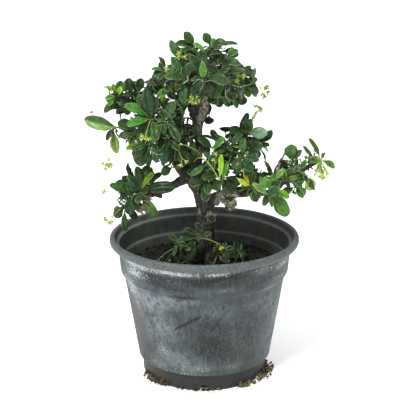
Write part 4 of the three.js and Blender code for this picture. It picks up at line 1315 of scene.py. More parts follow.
def streaks(bearing, height):
    """Rubbed dark streaks, by their distance from straight lines on the unrolled wall"""
    total = np.zeros_like(bearing)
    for b1, z1, b2, z2, width, strength in STREAKS:
        scale = math.radians(MEAN_RADIUS)
        start = np.array([b1 * scale, z1])
        reach = np.array([b2 * scale, z2]) - start
        away = np.stack([bearing * scale, height], -1) - start
        share = np.clip(away @ reach / (reach @ reach), 0, 1)
        distance = np.linalg.norm(away - share[:, None] * reach, axis=1)
        taper = 0.45 + 0.55 * np.sin(math.pi * (0.15 + 0.8 * share))
        total = np.maximum(total, strength * np.clip(1.5 - distance / (width * taper), 0, 1))
    return total


def mark_pot(piece):
    """Keeps bloom that is partly painted light, salt, stains with some painted shade and brown dust in the
    tone attribute; inside, foot and the ledges' painted highlight in the other
    """
    mesh = piece.data
    places = np.zeros(len(mesh.vertices) * 3, np.float32)
    mesh.vertices.foreach_get("co", places)
    x, y, z = (places.reshape(-1, 3) / MM).T
    spread = np.hypot(x, y)
    bearing = np.degrees(np.arctan2(x, -y))
    outer_line = np.array(POT_PROFILE[1:9])
    outer = np.interp(z, outer_line[:, 1], outer_line[:, 0])
    inside = np.clip((outer - spread - INSIDE_DEPTH) / INSIDE_DEPTH, 0, 1) * (z < INSIDE_TOP)
    foot = np.clip((FOOT_TOP - z) / 1.2, 0, 1)
    ledge_highlight = sum(np.exp(-((spread - r) / 1.6) ** 2 - ((z - level) / 0.9) ** 2) for r, level in LEDGE_HIGHLIGHTS)
    bloom, salt, stain_and_shade, brown = (soft_marks(bearing, z, found) for found in
                                 (BLOOM_AND_LIGHT_MARKS, SALT_MARKS, STAIN_AND_SHADE_MARKS, BROWN_MARKS))
    stain_and_shade = np.maximum(stain_and_shade, streaks(bearing, z))
    keep(mesh, "tone", np.stack([bloom, salt, stain_and_shade, brown], -1) * (1 - inside)[:, None])
    keep(mesh, "blade", np.stack([inside, foot, ledge_highlight], -1))


LIP_HEIGHT = 141


def pot_look():
    """Black plastic gone grey: lavender bloom, partly painted light on the upper left, salt under the lip,
    scuffs with a painted shadow under the step, brown dust, a dark foot, and an inside painted lighter with
    painted highlights on its ledges
    """
    g = Graph("nursery_pot")
    bloom, salt, stain_and_shade = g.parts(g.attribute("tone", "Color"))
    brown = g.attribute("tone", "Alpha")
    inside, foot, ledge_highlight = g.parts(g.attribute("blade"))
    lip = g.ramp(g.parts(g.place())[2], (LIP_HEIGHT - 0.8) * MM, (LIP_HEIGHT + 0.4) * MM)
    fine = g.grain(1.4, 6, 0.72)
    specks = g.grain(2.6, 7, 0.78)
    cloud = g.grain(16, 5, 0.62)
    broad = g.grain(42, 3, 0.5)
    runs = g.grain(4, 5, 0.65, stretch=(1, 1, 0.1))
    hairs = g.grain(1.4, 4, 0.6, stretch=(1, 1, 0.06))
    patchy = g.grain(5, 6, 0.72)
    ragged = g.times(g.math("SUBTRACT", g.math("ADD", specks, fine), 1), 1.5)
    colour = g.coats(g.mottled(cloud, 0.3, 0.72, (27, 33, 33), (48, 56, 55)),
                     (broad, 0.35, 0.7, 0.4, (36, 47, 45)),
                     (runs, 0.42, 0.7, 0.32, (86, 95, 94)),
                     (hairs, 0.5, 0.72, 0.26, (112, 121, 120)),
                     (fine, 0.52, 0.7, 0.3, (96, 104, 102)),
                     (patchy, 0.45, 0.62, 0.45, (26, 31, 31)))
    # Lavender bloom, partly weathering and partly painted light on the upper left
    bloom_and_light = g.times(bloom, g.ramp(cloud, 0.3, 0.6, 0.35, 1), g.ramp(patchy, 0.38, 0.56, 0.25, 1),
                   g.ramp(hairs, 0.35, 0.6, 0.7, 1))
    colour = g.paint(colour, g.times(bloom_and_light, 0.8), (142, 150, 158))
    haze = g.times(salt, g.ramp(cloud, 0.3, 0.66, 0.3, 0.8))
    colour = g.paint(colour, g.times(haze, 0.55), (134, 142, 144))
    # Dark scuffs and streaks, with a painted shadow band under the step at about 111 mm
    scuffs_and_shade = g.ramp(g.math("ADD", g.times(stain_and_shade, 1.25), g.times(ragged, 1.6)), 0.4, 0.9)
    colour = g.paint(colour, g.times(scuffs_and_shade, 0.92), (17, 20, 21))
    chalk = g.ramp(g.math("ADD", salt, g.times(ragged, 1.6)), 0.56, 1.0)
    colour = g.paint(colour, g.times(chalk, g.ramp(runs, 0.25, 0.6, 0.6, 0.95)), (196, 204, 204))
    dust = g.times(g.ramp(brown, 0.1, 0.9), g.ramp(specks, 0.35, 0.68))
    colour = g.paint(colour, g.times(dust, 0.55), (108, 98, 84))
    rim = g.mottled(specks, 0.36, 0.68, (62, 67, 67), (104, 110, 109))
    colour = g.blend(g.times(lip, g.ramp(salt, 0, 1, 0.9, 0.5)), colour, rim)
    low = g.coats(linear((25, 26, 25)), (specks, 0.42, 0.72, 0.5, (66, 66, 62)))
    low = g.paint(low, g.times(dust, 0.6), (112, 100, 82))
    colour = g.blend(g.times(foot, 0.9), colour, low)
    # The inside wall is painted lighter than the outside: a painted light that lifts its shade
    dark = g.mottled(cloud, 0.3, 0.7, (68, 73, 67), (92, 97, 89))
    dark = g.coats(dark, (runs, 0.45, 0.75, 0.35, (106, 110, 104)))
    colour = g.blend(inside, colour, dark)
    # Painted highlight along the ledges inside the pot
    colour = g.paint(colour, g.times(ledge_highlight, 0.4), (116, 120, 117))
    relief = g.math("ADD", g.times(fine, 0.6), g.times(specks, 0.8))
    roughness = g.ramp(specks, 0.3, 0.7, 0.46, 0.7)
    return g.finish(colour, roughness, relief, 0.25, Specular_IOR_Level=0.35)


def soil_height(x, y):
    """The model's own swell of the soil's top, with clods and crumbs on it"""
    rise = np.interp(math.hypot(x, y), *zip(*SOIL_SWELL))
    swell = 1.3 * math.sin(x * 0.09 + 1) * math.cos(y * 0.11) + 0.7 * math.sin(x * 0.23 - y * 0.17)
    clod = 1.5 * noise.noise(Vector((x, y, 3)) * 0.11) + 0.9 * noise.noise(Vector((x, y, 9)) * 0.35)
    return rise + swell + clod


SOIL_SEGMENTS = 160
SOIL_STEP = 1.6
# Where the soil meets the wall, and over how much of its edge the unevenness fades
SOIL_REACH = 82.7
SOIL_FADE = 3


def soil_piece(material):
    """The soil's body, with a fine uneven top that is calmer at the pot's wall"""
    points, faces = turned(SOIL_PROFILE, SOIL_SEGMENTS, SOIL_STEP)
    fade = np.clip((SOIL_REACH - np.hypot(points[:, 0], points[:, 1])) / SOIL_FADE, 0, 1)
    for i in np.flatnonzero(points[:, 2] > SOIL_EDGE - 0.01):
        x, y, z = points[i]
        points[i, 2] = z + (soil_height(x, y) - z) * (0.35 + 0.65 * fade[i])
    patch = Patch()
    patch.add(points, faces)
    return patch.object("soil_bed", material)


SOIL_TONES = [(24, 23, 21), (38, 35, 30), (52, 47, 39), (18, 18, 17), (84, 76, 60), (112, 104, 84)]
CRUMBS = 520
CRUMB_REACH = 80
MOSS_TUFTS = [
    ((30, 4), 9), ((42, 8), 10), ((52, 14), 9), ((-26, 6), 7), ((-38, 10), 8), ((10, 30), 8),
    ((-8, 44), 7),
]
MOSS_CRUMBS = 40
MOSS_TONE = np.array([34, 50, 30])


def around(turn, spread):
    """Where a turn from the +X axis and a distance from the pot's axis lead"""
    return spread * math.cos(turn), spread * math.sin(turn)


def crumb(patch, place, radius, tone, rng):
    """One uneven lump"""
    points, faces = ball(np.zeros(3), radius, 1)
    points = points * rng.uniform(0.65, 1.25, 3) * (1 + 0.2 * np.sin(points[:, [0]] * 5 / radius))
    patch.add(points + place, faces, 0, linear(tone))


def soil_crumbs(material):
    """Loose crumbs, grit and bark bits that lie on the soil, and low tufts of moss"""
    rng = np.random.default_rng(SEEDS["soil"])
    patch = Patch()
    for _ in range(CRUMBS):
        spread = CRUMB_REACH * math.sqrt(rng.uniform(0.01, 1))
        x, y = around(rng.uniform(0, 2 * math.pi), spread)
        radius = rng.uniform(0.5, 1.9)
        tone = SOIL_TONES[min(5, int(rng.exponential(1.7)))]
        crumb(patch, (x, y, soil_height(x, y) + radius * 0.35), radius, tone, rng)
    for (mx, my), reach in MOSS_TUFTS:
        for _ in range(MOSS_CRUMBS):
            x, y = rng.normal((mx, my), reach * 0.45)
            lift = max(0, 1 - math.hypot(x - mx, y - my) / reach) * reach * 0.4
            tone = MOSS_TONE * rng.uniform(0.6, 1.3)
            crumb(patch, (x, y, soil_height(x, y) + lift), rng.uniform(1.0, 2.2), tone, rng)
    return patch.object("soil_crumbs", material)


def crumb_look():
    """Dry crumbs, coloured by the tone attribute"""
    g = Graph("crumbs")
    tone = g.attribute("tone", "Color")
    fine = g.grain(0.9, 5, 0.7)
    colour = g.blend(g.ramp(fine, 0.3, 0.7), g.tinted(tone, (0.4, 0.4, 0.4)), tone)
    return g.finish(colour, g.ramp(fine, 0.3, 0.7, 0.85, 0.97), fine, 0.5, Specular_IOR_Level=0.15)


def soil_look():
    """Damp dark potting mix with paler flecks"""
    g = Graph("soil")
    fine = g.grain(1.3, 7, 0.75)
    colour = g.mottled(fine, 0.3, 0.72, (27, 28, 25), (56, 56, 49))
    colour = g.coats(colour, (g.grain(12, 4), 0.45, 0.7, 0.55, (44, 46, 38)))
    colour = g.paint(colour, g.ramp(g.cells(3.4), 0.02, 0.12, 0.4, 0), (110, 100, 84))
    return g.finish(colour, g.ramp(fine, 0.3, 0.7, 0.85, 0.97), fine, 1.2, Specular_IOR_Level=0.15)


DRY_TONES = [(122, 92, 52), (92, 66, 40), (150, 132, 84), (70, 54, 38), (104, 112, 56)]
# Pale roots and thin stalks at the tree's foot: their points, radius and colour
FOOT_STALKS = [
    ([(10, -7, 137), (13, -10, 131), (11, -13, 124), (7, -13, 116)], 0.9, (150, 146, 116)),
    ([(11, -8, 132), (16, -12, 134), (21, -14, 134), (26, -14, 132)], 0.6, (136, 142, 62)),
    ([(-44, -2, 117), (-38, -4, 125), (-31, -6, 135)], 0.35, (104, 116, 62)),
    ([(-52, 2, 117), (-40, -3, 130), (-28, -12, 140)], 0.3, (176, 184, 166)),
    ([(-24, -4, 118), (-16, -8, 124), (-7, -10, 123)], 0.6, (122, 104, 74)),
    ([(-2, -12, 134), (-5, -14, 126), (-4, -16, 116)], 1.1, (64, 56, 46)),
    ([(5, -12, 132), (2, -15, 124), (5, -17, 116)], 0.9, (120, 114, 94)),
]
DRY_LEAVES = 26
LITTER_REACH = 76


def litter_piece(material):
    """Fallen dry leaves, thin stalks and a pale root round the foot of the trunk"""
    rng = np.random.default_rng(SEEDS["litter"])
    patch = Patch()
    for number in range(DRY_LEAVES):
        turn = rng.uniform(0, 2 * math.pi)
        x, y = around(turn, rng.uniform(24, 70))
        way = rng.uniform(0, 2 * math.pi)
        length = rng.uniform(8, 17)
        base = np.array([x, y, soil_height(x, y) + 1.6])
        tip = base + np.array([*around(way, length), rng.uniform(-1, 3)])
        if math.hypot(tip[0], tip[1]) > LITTER_REACH:
            continue
        width = length * rng.uniform(0.3, 0.45)
        blade = Blade(base, tip, width, UP + rng.normal(size=3) * 0.4, "small")
        tone = linear(DRY_TONES[number % len(DRY_TONES)])
        add_leaf(patch, blade, tone, stream(SEEDS["dry_leaf"] + number), SMALL)
    for places, radius, tone in FOOT_STALKS:
        line, radii = curve_through(places, [radius] * len(places), 1.5)
        knotty = radii * (1 + 0.12 * np.sin(np.arange(len(line)) * 1.7))
        patch.add(*tube(line, knotty, STALK_SIDES), 0, linear(tone))
    return patch.object("litter", material, material)


# Crusts of dried soil and fine roots that have grown out through the notches: bearings from the front,
# how far they reach out from the foot, how high they stand and how many lumps
FOOT_CRUSTS = [(50, 96, 12, 6, 130), (27, 52, 8, 4, 80), (-70, -34, 7, 5, 110), (-30, 26, 2.5, 1.5, 26)]
FOOT_REACH = 65.4
FOOT_VOXEL = 0.7
FOOT_GRIT = 0.4
FOOT_DARK = linear((38, 34, 28))
FOOT_PALE = linear((158, 142, 106))
GRIT_COUNT = 260
GRIT_TONES = [(206, 196, 168), (178, 164, 130), (92, 84, 68), (52, 48, 42)]
# Bearings that grit lies round, and how much of it
GRIT_BEARINGS = [52, 30, -52, -5]
GRIT_SHARES = [0.34, 0.22, 0.3, 0.14]


def at_bearing(turn, spread, level):
    """The place at a turn from the front, a distance from the pot's axis and a height"""
    return spread * math.sin(turn), -spread * math.cos(turn), level


def foot_relief(place):
    """Grit on the crust, with its tone: paler on the raised lumps of grit and darker in the hollows between
    them, a painted light and shade, and darker on the left
    """
    grit = noise.noise(place * 0.5) + 0.6 * noise.noise(place * 1.3)
    # Painted light and shade: paler where the grit stands up
    light = held(0.45 + 1.1 * grit + 0.5 * noise.noise(place * 0.12)) * (0.4 if place.x < 10 else 1)
    return FOOT_GRIT * grit, (*mixed(FOOT_DARK, FOOT_PALE, light), 1)


def foot_crust(material):
    """Dried soil and root crumbs, caked in one ragged crust against the foot of the pot"""
    rng = np.random.default_rng(SEEDS["foot_crust"])
    patch = Patch()
    for first, last, reach, height, count in FOOT_CRUSTS:
        for _ in range(count):
            turn = math.radians(rng.triangular(first, (first + last) / 2, last))
            away = rng.beta(1.1, 2.0)
            radius = rng.uniform(0.9, 2.0) * (1.15 - 0.5 * away)
            level = radius * 0.6 + height * (1 - away) * rng.uniform(0, 0.8)
            points, faces = ball(np.zeros(3), radius, 1)
            place = at_bearing(turn, FOOT_REACH + reach * away, level)
            patch.add(points * rng.uniform(0.6, 1.4, 3) + place, faces)
    crust = melted(patch.object("foot_crust"), FOOT_VOXEL, 1)
    keep(crust.data, "tone", weathered(crust, foot_relief))
    crust.data.materials.clear()
    crust.data.materials.append(material)
    return crust


def foot_grit(material):
    """Pale grit and specks of soil scattered round the foot"""
    rng = np.random.default_rng(SEEDS["foot_grit"])
    patch = Patch()
    for _ in range(GRIT_COUNT):
        turn = math.radians(rng.choice(GRIT_BEARINGS, p=GRIT_SHARES) + rng.normal() * 14)
        spread = FOOT_REACH + 1 + 16 * rng.beta(1.0, 2.2)
        radius = rng.uniform(0.25, 0.7)
        tone = GRIT_TONES[min(3, int(rng.exponential(1.3)))]
        crumb(patch, at_bearing(turn, spread, radius * 0.6), radius, tone, rng)
    return patch.object("foot_grit", material)


# The leaves' colours. The darkest, deep, is a painted shade for leaves inside the foliage; the light fresh
# green is a painted light for leaves that lie in shade.
TONES = named_tones(
    deep=(20, 44, 24), dark=(28, 57, 28), mid=(48, 84, 41), bright=(76, 134, 44), fresh=(112, 154, 80),
    leafy=(54, 106, 52), young=(128, 172, 34), glossy=(20, 64, 40), pale=(142, 162, 134),
    mottled=(116, 138, 76), yellow=(200, 202, 50))
TWIG_BROWN = linear((62, 54, 44))
TWIG_GREEN = linear((92, 112, 54))

# Where the right bough's foliage starts, and how much painted light the leaves get by height
RIGHT_START = 28
LIGHT_HEIGHTS = [150, 175, 200, 285, 310, 340]
LIGHT_SHARES = [0.5, 0.96, 1.12, 1.12, 0.94, 1.15]


def painted_daylight(place):
    """Painted light and shade on a leaf by its place: painted lighter on the right bough and the crown's top,
    painted shade near the soil and under the crown's front
    """
    out = place[0] - RIGHT_START - 1.4 * max(0, place[2] - 215)
    # Painted shade under the front of the crown
    shade = 0.24 if place[1] < -24 and 290 < place[2] < 342 else 0
    return np.interp(place[2], LIGHT_HEIGHTS, LIGHT_SHARES) + np.interp(out, [0, 22], [0, 0.8]) - shade


def shaded_tone(name, draw, place):
    """A leaf's colour: its named tone, a little lighter or darker and bluer or yellower at random, with
    painted light and shade by its place, yellower where the painted light is strongest, and a painted bluish
    shade near the soil
    """
    r, g, b = TONES[name]
    sun = painted_daylight(place)
    light = (0.58 + 0.8 * draw()) * sun
    warm = 0.86 + 0.36 * draw() + 0.4 * max(0, sun - 1.12)
    # Painted bluish shade on the leaves near the soil
    painted_low_shade = np.interp(place[2], [150, 172], [0.7, 1])
    return (r * light * warm * 0.9 * painted_low_shade, g * light * 1.02, b * light / warm * 0.88 / painted_low_shade, draw())


def ruled_tone(rank, draw):
    """The tone of a leaf that the rule placed"""
    pick = draw()
    if rank > 0.8 and pick < 0.2:
        return "bright"
    if pick < 0.46:
        return "mid"
    return "glossy" if pick < 0.56 else "dark"


class Room:
    """Which small cells of space the foliage has taken, so that added leaves keep clear of it"""

    def __init__(self, size):
        self.size = size
        self.cells = set()

    def keys(self, points):
        return {tuple(key) for key in np.floor(points / self.size).astype(int).tolist()}

    def take(self, points):
        self.cells |= self.keys(points)

    def free(self, points):
        return self.cells.isdisjoint(self.keys(points))


class Hull:
    """The convex hull of a stem's solid, which added leaves stay inside"""

    def __init__(self, node):
        made = bmesh.new()
        made.from_mesh(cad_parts[node].data)
        found = bmesh.ops.convex_hull(made, input=made.verts)
        faces = [item for item in found["geom"] if isinstance(item, bmesh.types.BMFace)]
        self.normals = np.array([face.normal for face in faces])
        self.levels = np.array([face.normal.dot(face.verts[0].co) for face in faces]) / MM
        middle = np.array([vertex.co for vertex in made.verts]).mean(0) / MM
        turned_in = (self.normals @ middle) > self.levels
        self.normals[turned_in] *= -1
        self.levels[turned_in] *= -1
        made.free()

    def holds(self, place, margin):
        return bool(np.all(self.normals @ place <= self.levels + margin))


# Clear gaps that show between the boughs: lowest and highest corners
CLEAR_GAPS = [
    ((-20, -60, 262), (8, 0, 299)), ((-58, -60, 186), (-29, 10, 224)), ((5, -60, 252), (24, 12, 290)),
    ((6, -60, 178), (130, 0, 194)), ((-3, -60, 232), (8, -12, 250)), ((-66, -60, 224), (-50, 6, 240)),
    ((36, -60, 203), (43, 0, 212)), ((50, -60, 214), (60, 0, 230)), ((104, -60, 224), (128, 40, 233)),
]
# The foliage's cells, how far leaves may stand out of a stem's hull, and how near its base a leaf may touch
ROOM_CELL = 1.6
HULL_MARGIN = 1.5
NEAR_BASE = 3.4


class Foliage:
    """Adds leaves where there is room for them inside the model's own foliage"""

    def __init__(self):
        self.room = Room(ROOM_CELL)
        self.hulls = [Hull(f"spray_{name}") for name, _, _ in SPRAYS]

    def inside(self, place):
        for low, high in CLEAR_GAPS:
            if all(low[i] < place[i] < high[i] for i in range(3)):
                return False
        return any(hull.holds(place, HULL_MARGIN) for hull in self.hulls)

    def try_leaf(self, patch, blade, tone, draw):
        """Adds a small leaf if it is inside the foliage and clear of all leaves so far"""
        if not self.inside(blade.tip) or not self.inside((blade.tip + blade.base) / 2):
            return False
        grid = COARSE if tone == "deep" else SMALL
        points, values = leaf_points(blade, grid, draw)
        outer = points[np.linalg.norm(points - blade.base, axis=1) > NEAR_BASE]
        if not self.room.free(outer):
            return False
        patch.add(points, grid.faces, grid.looks, shaded_tone(tone, draw, blade.tip), values)
        self.room.take(outer)
        return True


FILL_TRIES = 260
FILL_MOST = 30
SPUR_STEP = 7
SPUR_TRIES = 16
SPUR_LEAVES = 6
SPUR_RADII = [0.85, 0.7, 0.75]
# Up to what height a bough bears no spurs, and how far left the lower left one starts to bear them
BARE_STRETCHES = {
    "trunk": 296, "left": 232, "leftBack": 226, "lowerLeft": -1, "middleRight": 222, "middleBack": 222,
}
BARE_FROM = -48


def fill_tone(size, shaded, draw):
    """The tone of a leaf between the larger ones: some young if small, and often deep, a painted shade, if
    shaded
    """
    pick = draw()
    if size < 9 and pick < 0.25:
        return "young" if pick < 0.1 else "bright"
    if pick < 0.5:
        return "deep" if shaded else "mid"
    return "deep" if shaded and pick < 0.75 else "dark"


def fill_stem(patch, stem_index, foliage):
    """Smaller leaves between a stem's larger ones, wherever there is room for them"""
    for index in range(len(SPRAYS[stem_index][2])):
        draw = stream(SEEDS["fill"] + 97 * stem_index + index)
        _, fork, tip = shoot_line(SPRAYS[stem_index], index)
        direction = unit(tip - fork)
        added = 0
        for attempt in range(FILL_TRIES):
            turn = 2 * math.pi * draw()
            spread = math.radians(15 + 95 * draw())
            radial = square_to(direction, turn)
            reach = unit(direction * math.cos(spread) + radial * math.sin(spread))
            back = draw()
            size = 6 + 4 * draw() + 9 * draw() * (1 - attempt / FILL_TRIES)
            base = tip + (fork - tip) * 0.9 * back ** 1.5 + reach * SUNK
            look = direction + radial * 0.4 * (draw() - 0.5) + (0.2 + 0.7 * draw()) * UP
            blade = Blade(base, base + reach * size, size * (0.38 + 0.14 * draw()), look, "small")
            ground = stream(SEEDS["fill_leaf"] + 997 * stem_index + 61 * index + attempt)
            # Leaves far back towards the fork count as shaded, and are often painted deep shade
            if foliage.try_leaf(patch, blade, fill_tone(size, back > 0.5, draw), ground):
                added += 1
                if added == FILL_MOST:
                    break


def grow_spurs(name, line, radii, number, foliage, leaves, twigs):
    """Short leafy spurs along a bough, wherever the foliage has room for one"""
    draw = stream(SEEDS["spur"] + 331 * number)
    reached = travelled(line)
    for distance in np.arange(3, reached[-1], SPUR_STEP):
        i = int(np.searchsorted(reached, distance))
        place = line[min(i, len(line) - 1)]
        radius = radii[min(i, len(radii) - 1)]
        along = unit(line[min(i + 1, len(line) - 1)] - line[max(i - 1, 0)])
        if place[2] < BARE_STRETCHES.get(name, 0) or (name == "lowerLeft" and place[0] > BARE_FROM):
            continue
        for _ in range(SPUR_TRIES):
            out = square_to(along, 2 * math.pi * draw())
            way = unit(out + along * (0.5 * draw()) + 0.3 * UP)
            length = 6 + 15 * draw()
            start = place + way * radius * 0.6
            end = start + way * length
            twig, sizes = curve_through(twig_points(start, end), SPUR_RADII, 2)
            outer = twig[np.linalg.norm(twig - place, axis=1) > radius + 1.5]
            if not foliage.inside(end) or not foliage.room.free(outer):
                continue
            grown = sum(spur_leaf(leaves, end, way, k, draw, foliage) for k in range(SPUR_LEAVES))
            if grown:
                twigs.add(*tube(twig, sizes, SPUR_SIDES), 0, TWIG_BROWN)
                foliage.room.take(outer)
                break


def spur_leaf(patch, hub, direction, k, draw, foliage):
    """One leaf of a spur, in the first of a few turns that has room"""
    for shift in (0, 0.7, -0.7, 1.5):
        spread = math.radians(85 - 9 * k + 12 * draw())
        radial = square_to(direction, GOLDEN * k + shift)
        reach = unit(direction * math.cos(spread) + radial * math.sin(spread) - 0.1 * UP)
        size = 10 + 8 * draw()
        base = hub + reach * 0.4
        look = direction + (0.3 + 0.6 * draw()) * UP
        blade = Blade(base, base + reach * size, size * (0.4 + 0.12 * draw()), look, "small")
        # Spur leaves sit inside the foliage and are mostly painted deep shade
        if foliage.try_leaf(patch, blade, "deep" if draw() < 0.6 else "dark", draw):
            return 1
    return 0


# Single leaves, given one by one: base, tip, width and tone
# Many of these are painted deep shade inside the foliage; the light fresh green ones are painted light, and
# the far left leaf is painted in raking light, dark above and pale below.
SET_LEAVES = [
    ((-2, -58, 349), (-1, -57, 329), 7, "bright"), ((-1, -44, 322), (-2, -43, 307), 8, "dark"),
    ((4, -43, 321), (8, -41, 304), 9, "dark"), ((2, -44, 326), (3, -46, 312), 7, "deep"),
    ((32, -36, 222), (43, -38, 214), 5.5, "yellow"), ((15, -46, 222), (17, -46, 249), 5.5, "young"),
    ((18, -44, 221), (23, -47, 240), 5, "bright"), ((-93, -14, 305), (-97, -16, 312), 4, "young"),
    ((-91, -14, 304), (-91, -16, 314), 4, "young"), ((-89, -14, 301), (-100, -16, 299), 5, "bright"),
    ((-86, -14, 302), (-84, -16, 311), 5, "young"), ((-90, -14, 299), (-97, -16, 292), 5, "bright"),
    ((-86, -12, 268), (-121, -16, 278), 13, "halved"), ((61, -34, 202), (57, -38, 223), 6, "fresh"),
    ((65, -34, 203), (50, -38, 216), 6, "mottled"), ((108, -8, 216), (112, -12, 202), 8, "mottled"),
    ((98, -14, 197), (96, -18, 211), 5, "young"), ((77, -38, 215), (66, -42, 206), 8, "glossy"),
    ((82, -20, 214), (94, -24, 219), 6, "mottled"), ((72, -24, 217), (81, -28, 228), 6, "fresh"),
    ((104, -8, 228), (116, -12, 237), 7, "mottled"), ((90, -16, 207), (101, -20, 213), 6, "bright"),
    ((98, -12, 223), (104, -16, 235), 5, "mid"), ((-8, -32, 154), (-19, -34, 142), 9, "glossy"),
    ((-9, -30, 158), (-21, -32, 166), 7, "deep"), ((-4, -30, 150), (-9, -32, 137), 9, "dark"),
    ((-1, -26, 161), (-9, -28, 171), 6, "deep"), ((-15, -34, 148), (-27, -36, 152), 6, "mid"),
    ((22, -40, 313), (32, -38, 303), 9, "dark"), ((8, 10, 331), (5, 12, 346), 10, "deep"),
    ((-72, 0, 300), (-78, 2, 316), 9, "deep"), ((-66, 0, 300), (-64, 2, 316), 9, "deep"),
    ((-78, 0, 296), (-92, 2, 300), 9, "deep"), ((-74, 0, 294), (-84, 2, 284), 9, "deep"),
    ((-62, 0, 296), (-52, 2, 306), 9, "deep"), ((-64, 2, 292), (-58, 2, 280), 9, "deep"),
    ((-8, -14, 272), (-12, -16, 256), 9, "deep"), ((-14, -12, 262), (-24, -14, 252), 9, "deep"),
    ((-10, -12, 250), (-12, -14, 236), 9, "deep"), ((14, 10, 327), (12, 14, 343), 10, "deep"),
    ((20, 8, 323), (20, 12, 339), 10, "deep"), ((28, 6, 319), (29, 10, 335), 10, "deep"),
    ((22, 0, 310), (25, 4, 293), 10, "deep"), ((40, 0, 302), (38, 2, 287), 9, "deep"),
    ((-15, 10, 331), (-17, 12, 347), 9, "deep"), ((-20, 6, 324), (-28, 8, 333), 9, "deep"),
    ((-16, -4, 307), (-19, -2, 290), 9, "deep"), ((-27, -6, 312), (-35, -4, 303), 9, "deep"),
]


def halved(values):
    """Painted light for a leaf: its upper half painted dark and its lower half painted pale, as in raking
    light
    """
    share = np.clip(0.5 + values[:, [0]] * 0.6, 0, 1)
    tones = mixed(linear((52, 86, 40)), linear((136, 172, 96)), share)
    return np.hstack([tones, np.full((len(tones), 1), 0.7)])


def settle_leaves(patch, name, looks, *nodes):
    settle(patch.object(name, looks["upper"], looks["under"]), "leaf", *nodes)


def set_leaves(looks, foliage):
    """The single listed leaves, in one piece"""
    patch = Patch()
    for number, (base, tip, width, tone) in enumerate(SET_LEAVES):
        draw = stream(SEEDS["set_leaf"] + number)
        look = point((0.3 * (draw() - 0.5), -0.9, 0.3))
        blade = Blade(point(base), point(tip), width, look, "large")
        points, values = leaf_points(blade, LARGE, draw)
        # Leaves set on the right bough get no extra painted light for being there
        place = blade.tip * (0 if blade.tip[0] > RIGHT_START else 1, 1, 1)
        colour = halved(values) if tone == "halved" else shaded_tone(tone, draw, place)
        patch.add(points, LARGE.faces, LARGE.looks, colour, values)
        foliage.room.take(points)
    settle_leaves(patch, "leaves_set", looks)


# Starry buds that peep out under the crown's front leaves and at the right bough's end: root, size and places
PEEPING_BUDS = [
    ((-9, -48, 309), 1,
     [(-11, -57, 308), (-7, -57, 310), (-14, -57, 305), (-8, -57, 304), (-13, -56, 310)]),
    ((119, -3, 231), 1.9,
     [(115, -8, 220), (119, -8, 223), (125, -8, 222), (122, -8, 218), (118, -8, 227)]),
]


def add_stalk(patch, places, radii, step, tone, sides=SPUR_SIDES):
    patch.add(*tube(*curve_through(places, radii, step), sides), 0, tone)


def peeping_buds(material):
    """Starry buds on short stalks"""
    patch = Patch()
    buds = [(point(root), size, point(place)) for root, size, places in PEEPING_BUDS for place in places]
    for number, (root, size, place) in enumerate(buds):
        way = unit(place - root)
        line = [root, (root + place) / 2 + UP * 0.5, place]
        add_stalk(patch, line, [0.4 * size, 0.3 * size, 0.3 * size], 1.5, CALYX_GREEN)
        add_bud(patch, place, way, 0.8 * size, 1.6 * size, CALYX_GREEN)
        draw = stream(SEEDS["peeping_bud"] + number)
        add_sepals(patch, place - way * 0.9, way, 2.6 * size, 0.7 * size, LEAFY_GREEN, CALYX_GREEN, draw)
    return patch.object("peeping_buds", material)


def hides_trunk(blade):
    """Whether a leaf would hang before the bare flare of the trunk"""
    low, high = CLEAR_GAPS[0]
    return all(low[i] < blade.tip[i] * 0.6 + blade.base[i] * 0.4 < high[i] for i in range(3))


def spray_pieces(looks, lines):
    """One piece of finished leaves and one of twigs for every leafy stem, and for the boughs' own spurs"""
    foliage = Foliage()
    patches = []
    for stem_index in range(len(SPRAYS)):
        patch = Patch()
        for number, (rank, blade, tone) in enumerate(kept_blades(stem_index)):
            if hides_trunk(blade) or tone == "set":
                continue
            draw = stream(SEEDS["spray_leaf"] + 211 * stem_index + number)
            tone = tone or ruled_tone(rank, draw)
            foliage.room.take(add_leaf(patch, blade, shaded_tone(tone, draw, blade.tip), draw))
        patches.append(patch)
    set_leaves(looks, foliage)
    for stem_index, patch in enumerate(patches):
        fill_stem(patch, stem_index, foliage)
    for stem, patch in zip(SPRAYS, patches):
        settle_leaves(patch, f"leaves_{stem[0]}", looks, f"spray_{stem[0]}")
        twigs = Patch()
        for index in range(len(stem[2])):
            add_twig(twigs, shoot_line(stem, index), index)
        settle(twigs.object(f"twigs_{stem[0]}", looks["stem"]), "bark")
    for number, (name, (line, radii)) in enumerate(zip(BOUGHS, lines)):
        leaves = Patch()
        twigs = Patch()
        grow_spurs(name, line, radii, number, foliage, leaves, twigs)
        if leaves.count:
            settle_leaves(leaves, f"spur_leaves_{name}", looks)
            settle(twigs.object(f"spur_twigs_{name}", looks["stem"]), "bark")


TWIG_RADII = [1.25, 0.95, 0.8]
KNUCKLE_RADIUS = 1.35


def add_twig(patch, line, index):
    """A thin woody twig to a shoot's tip, green towards its end, with a knuckle there"""
    start, _, end = line
    points, faces = tube(*curve_through(line, TWIG_RADII, 2), TWIG_SIDES)
    share = np.linalg.norm(points - start, axis=1) / np.linalg.norm(end - start)
    patch.add(points, faces, 0, mixed(TWIG_BROWN, TWIG_GREEN, np.clip(share, 0, 1)[:, None] ** 2))
    knuckle, knuckle_faces = ball(np.zeros(3), KNUCKLE_RADIUS, 2)
    knuckle *= 1 + 0.12 * np.sin(knuckle[:, [2]] * 4 + index)
    patch.add(knuckle + end, knuckle_faces, 0, TWIG_GREEN)


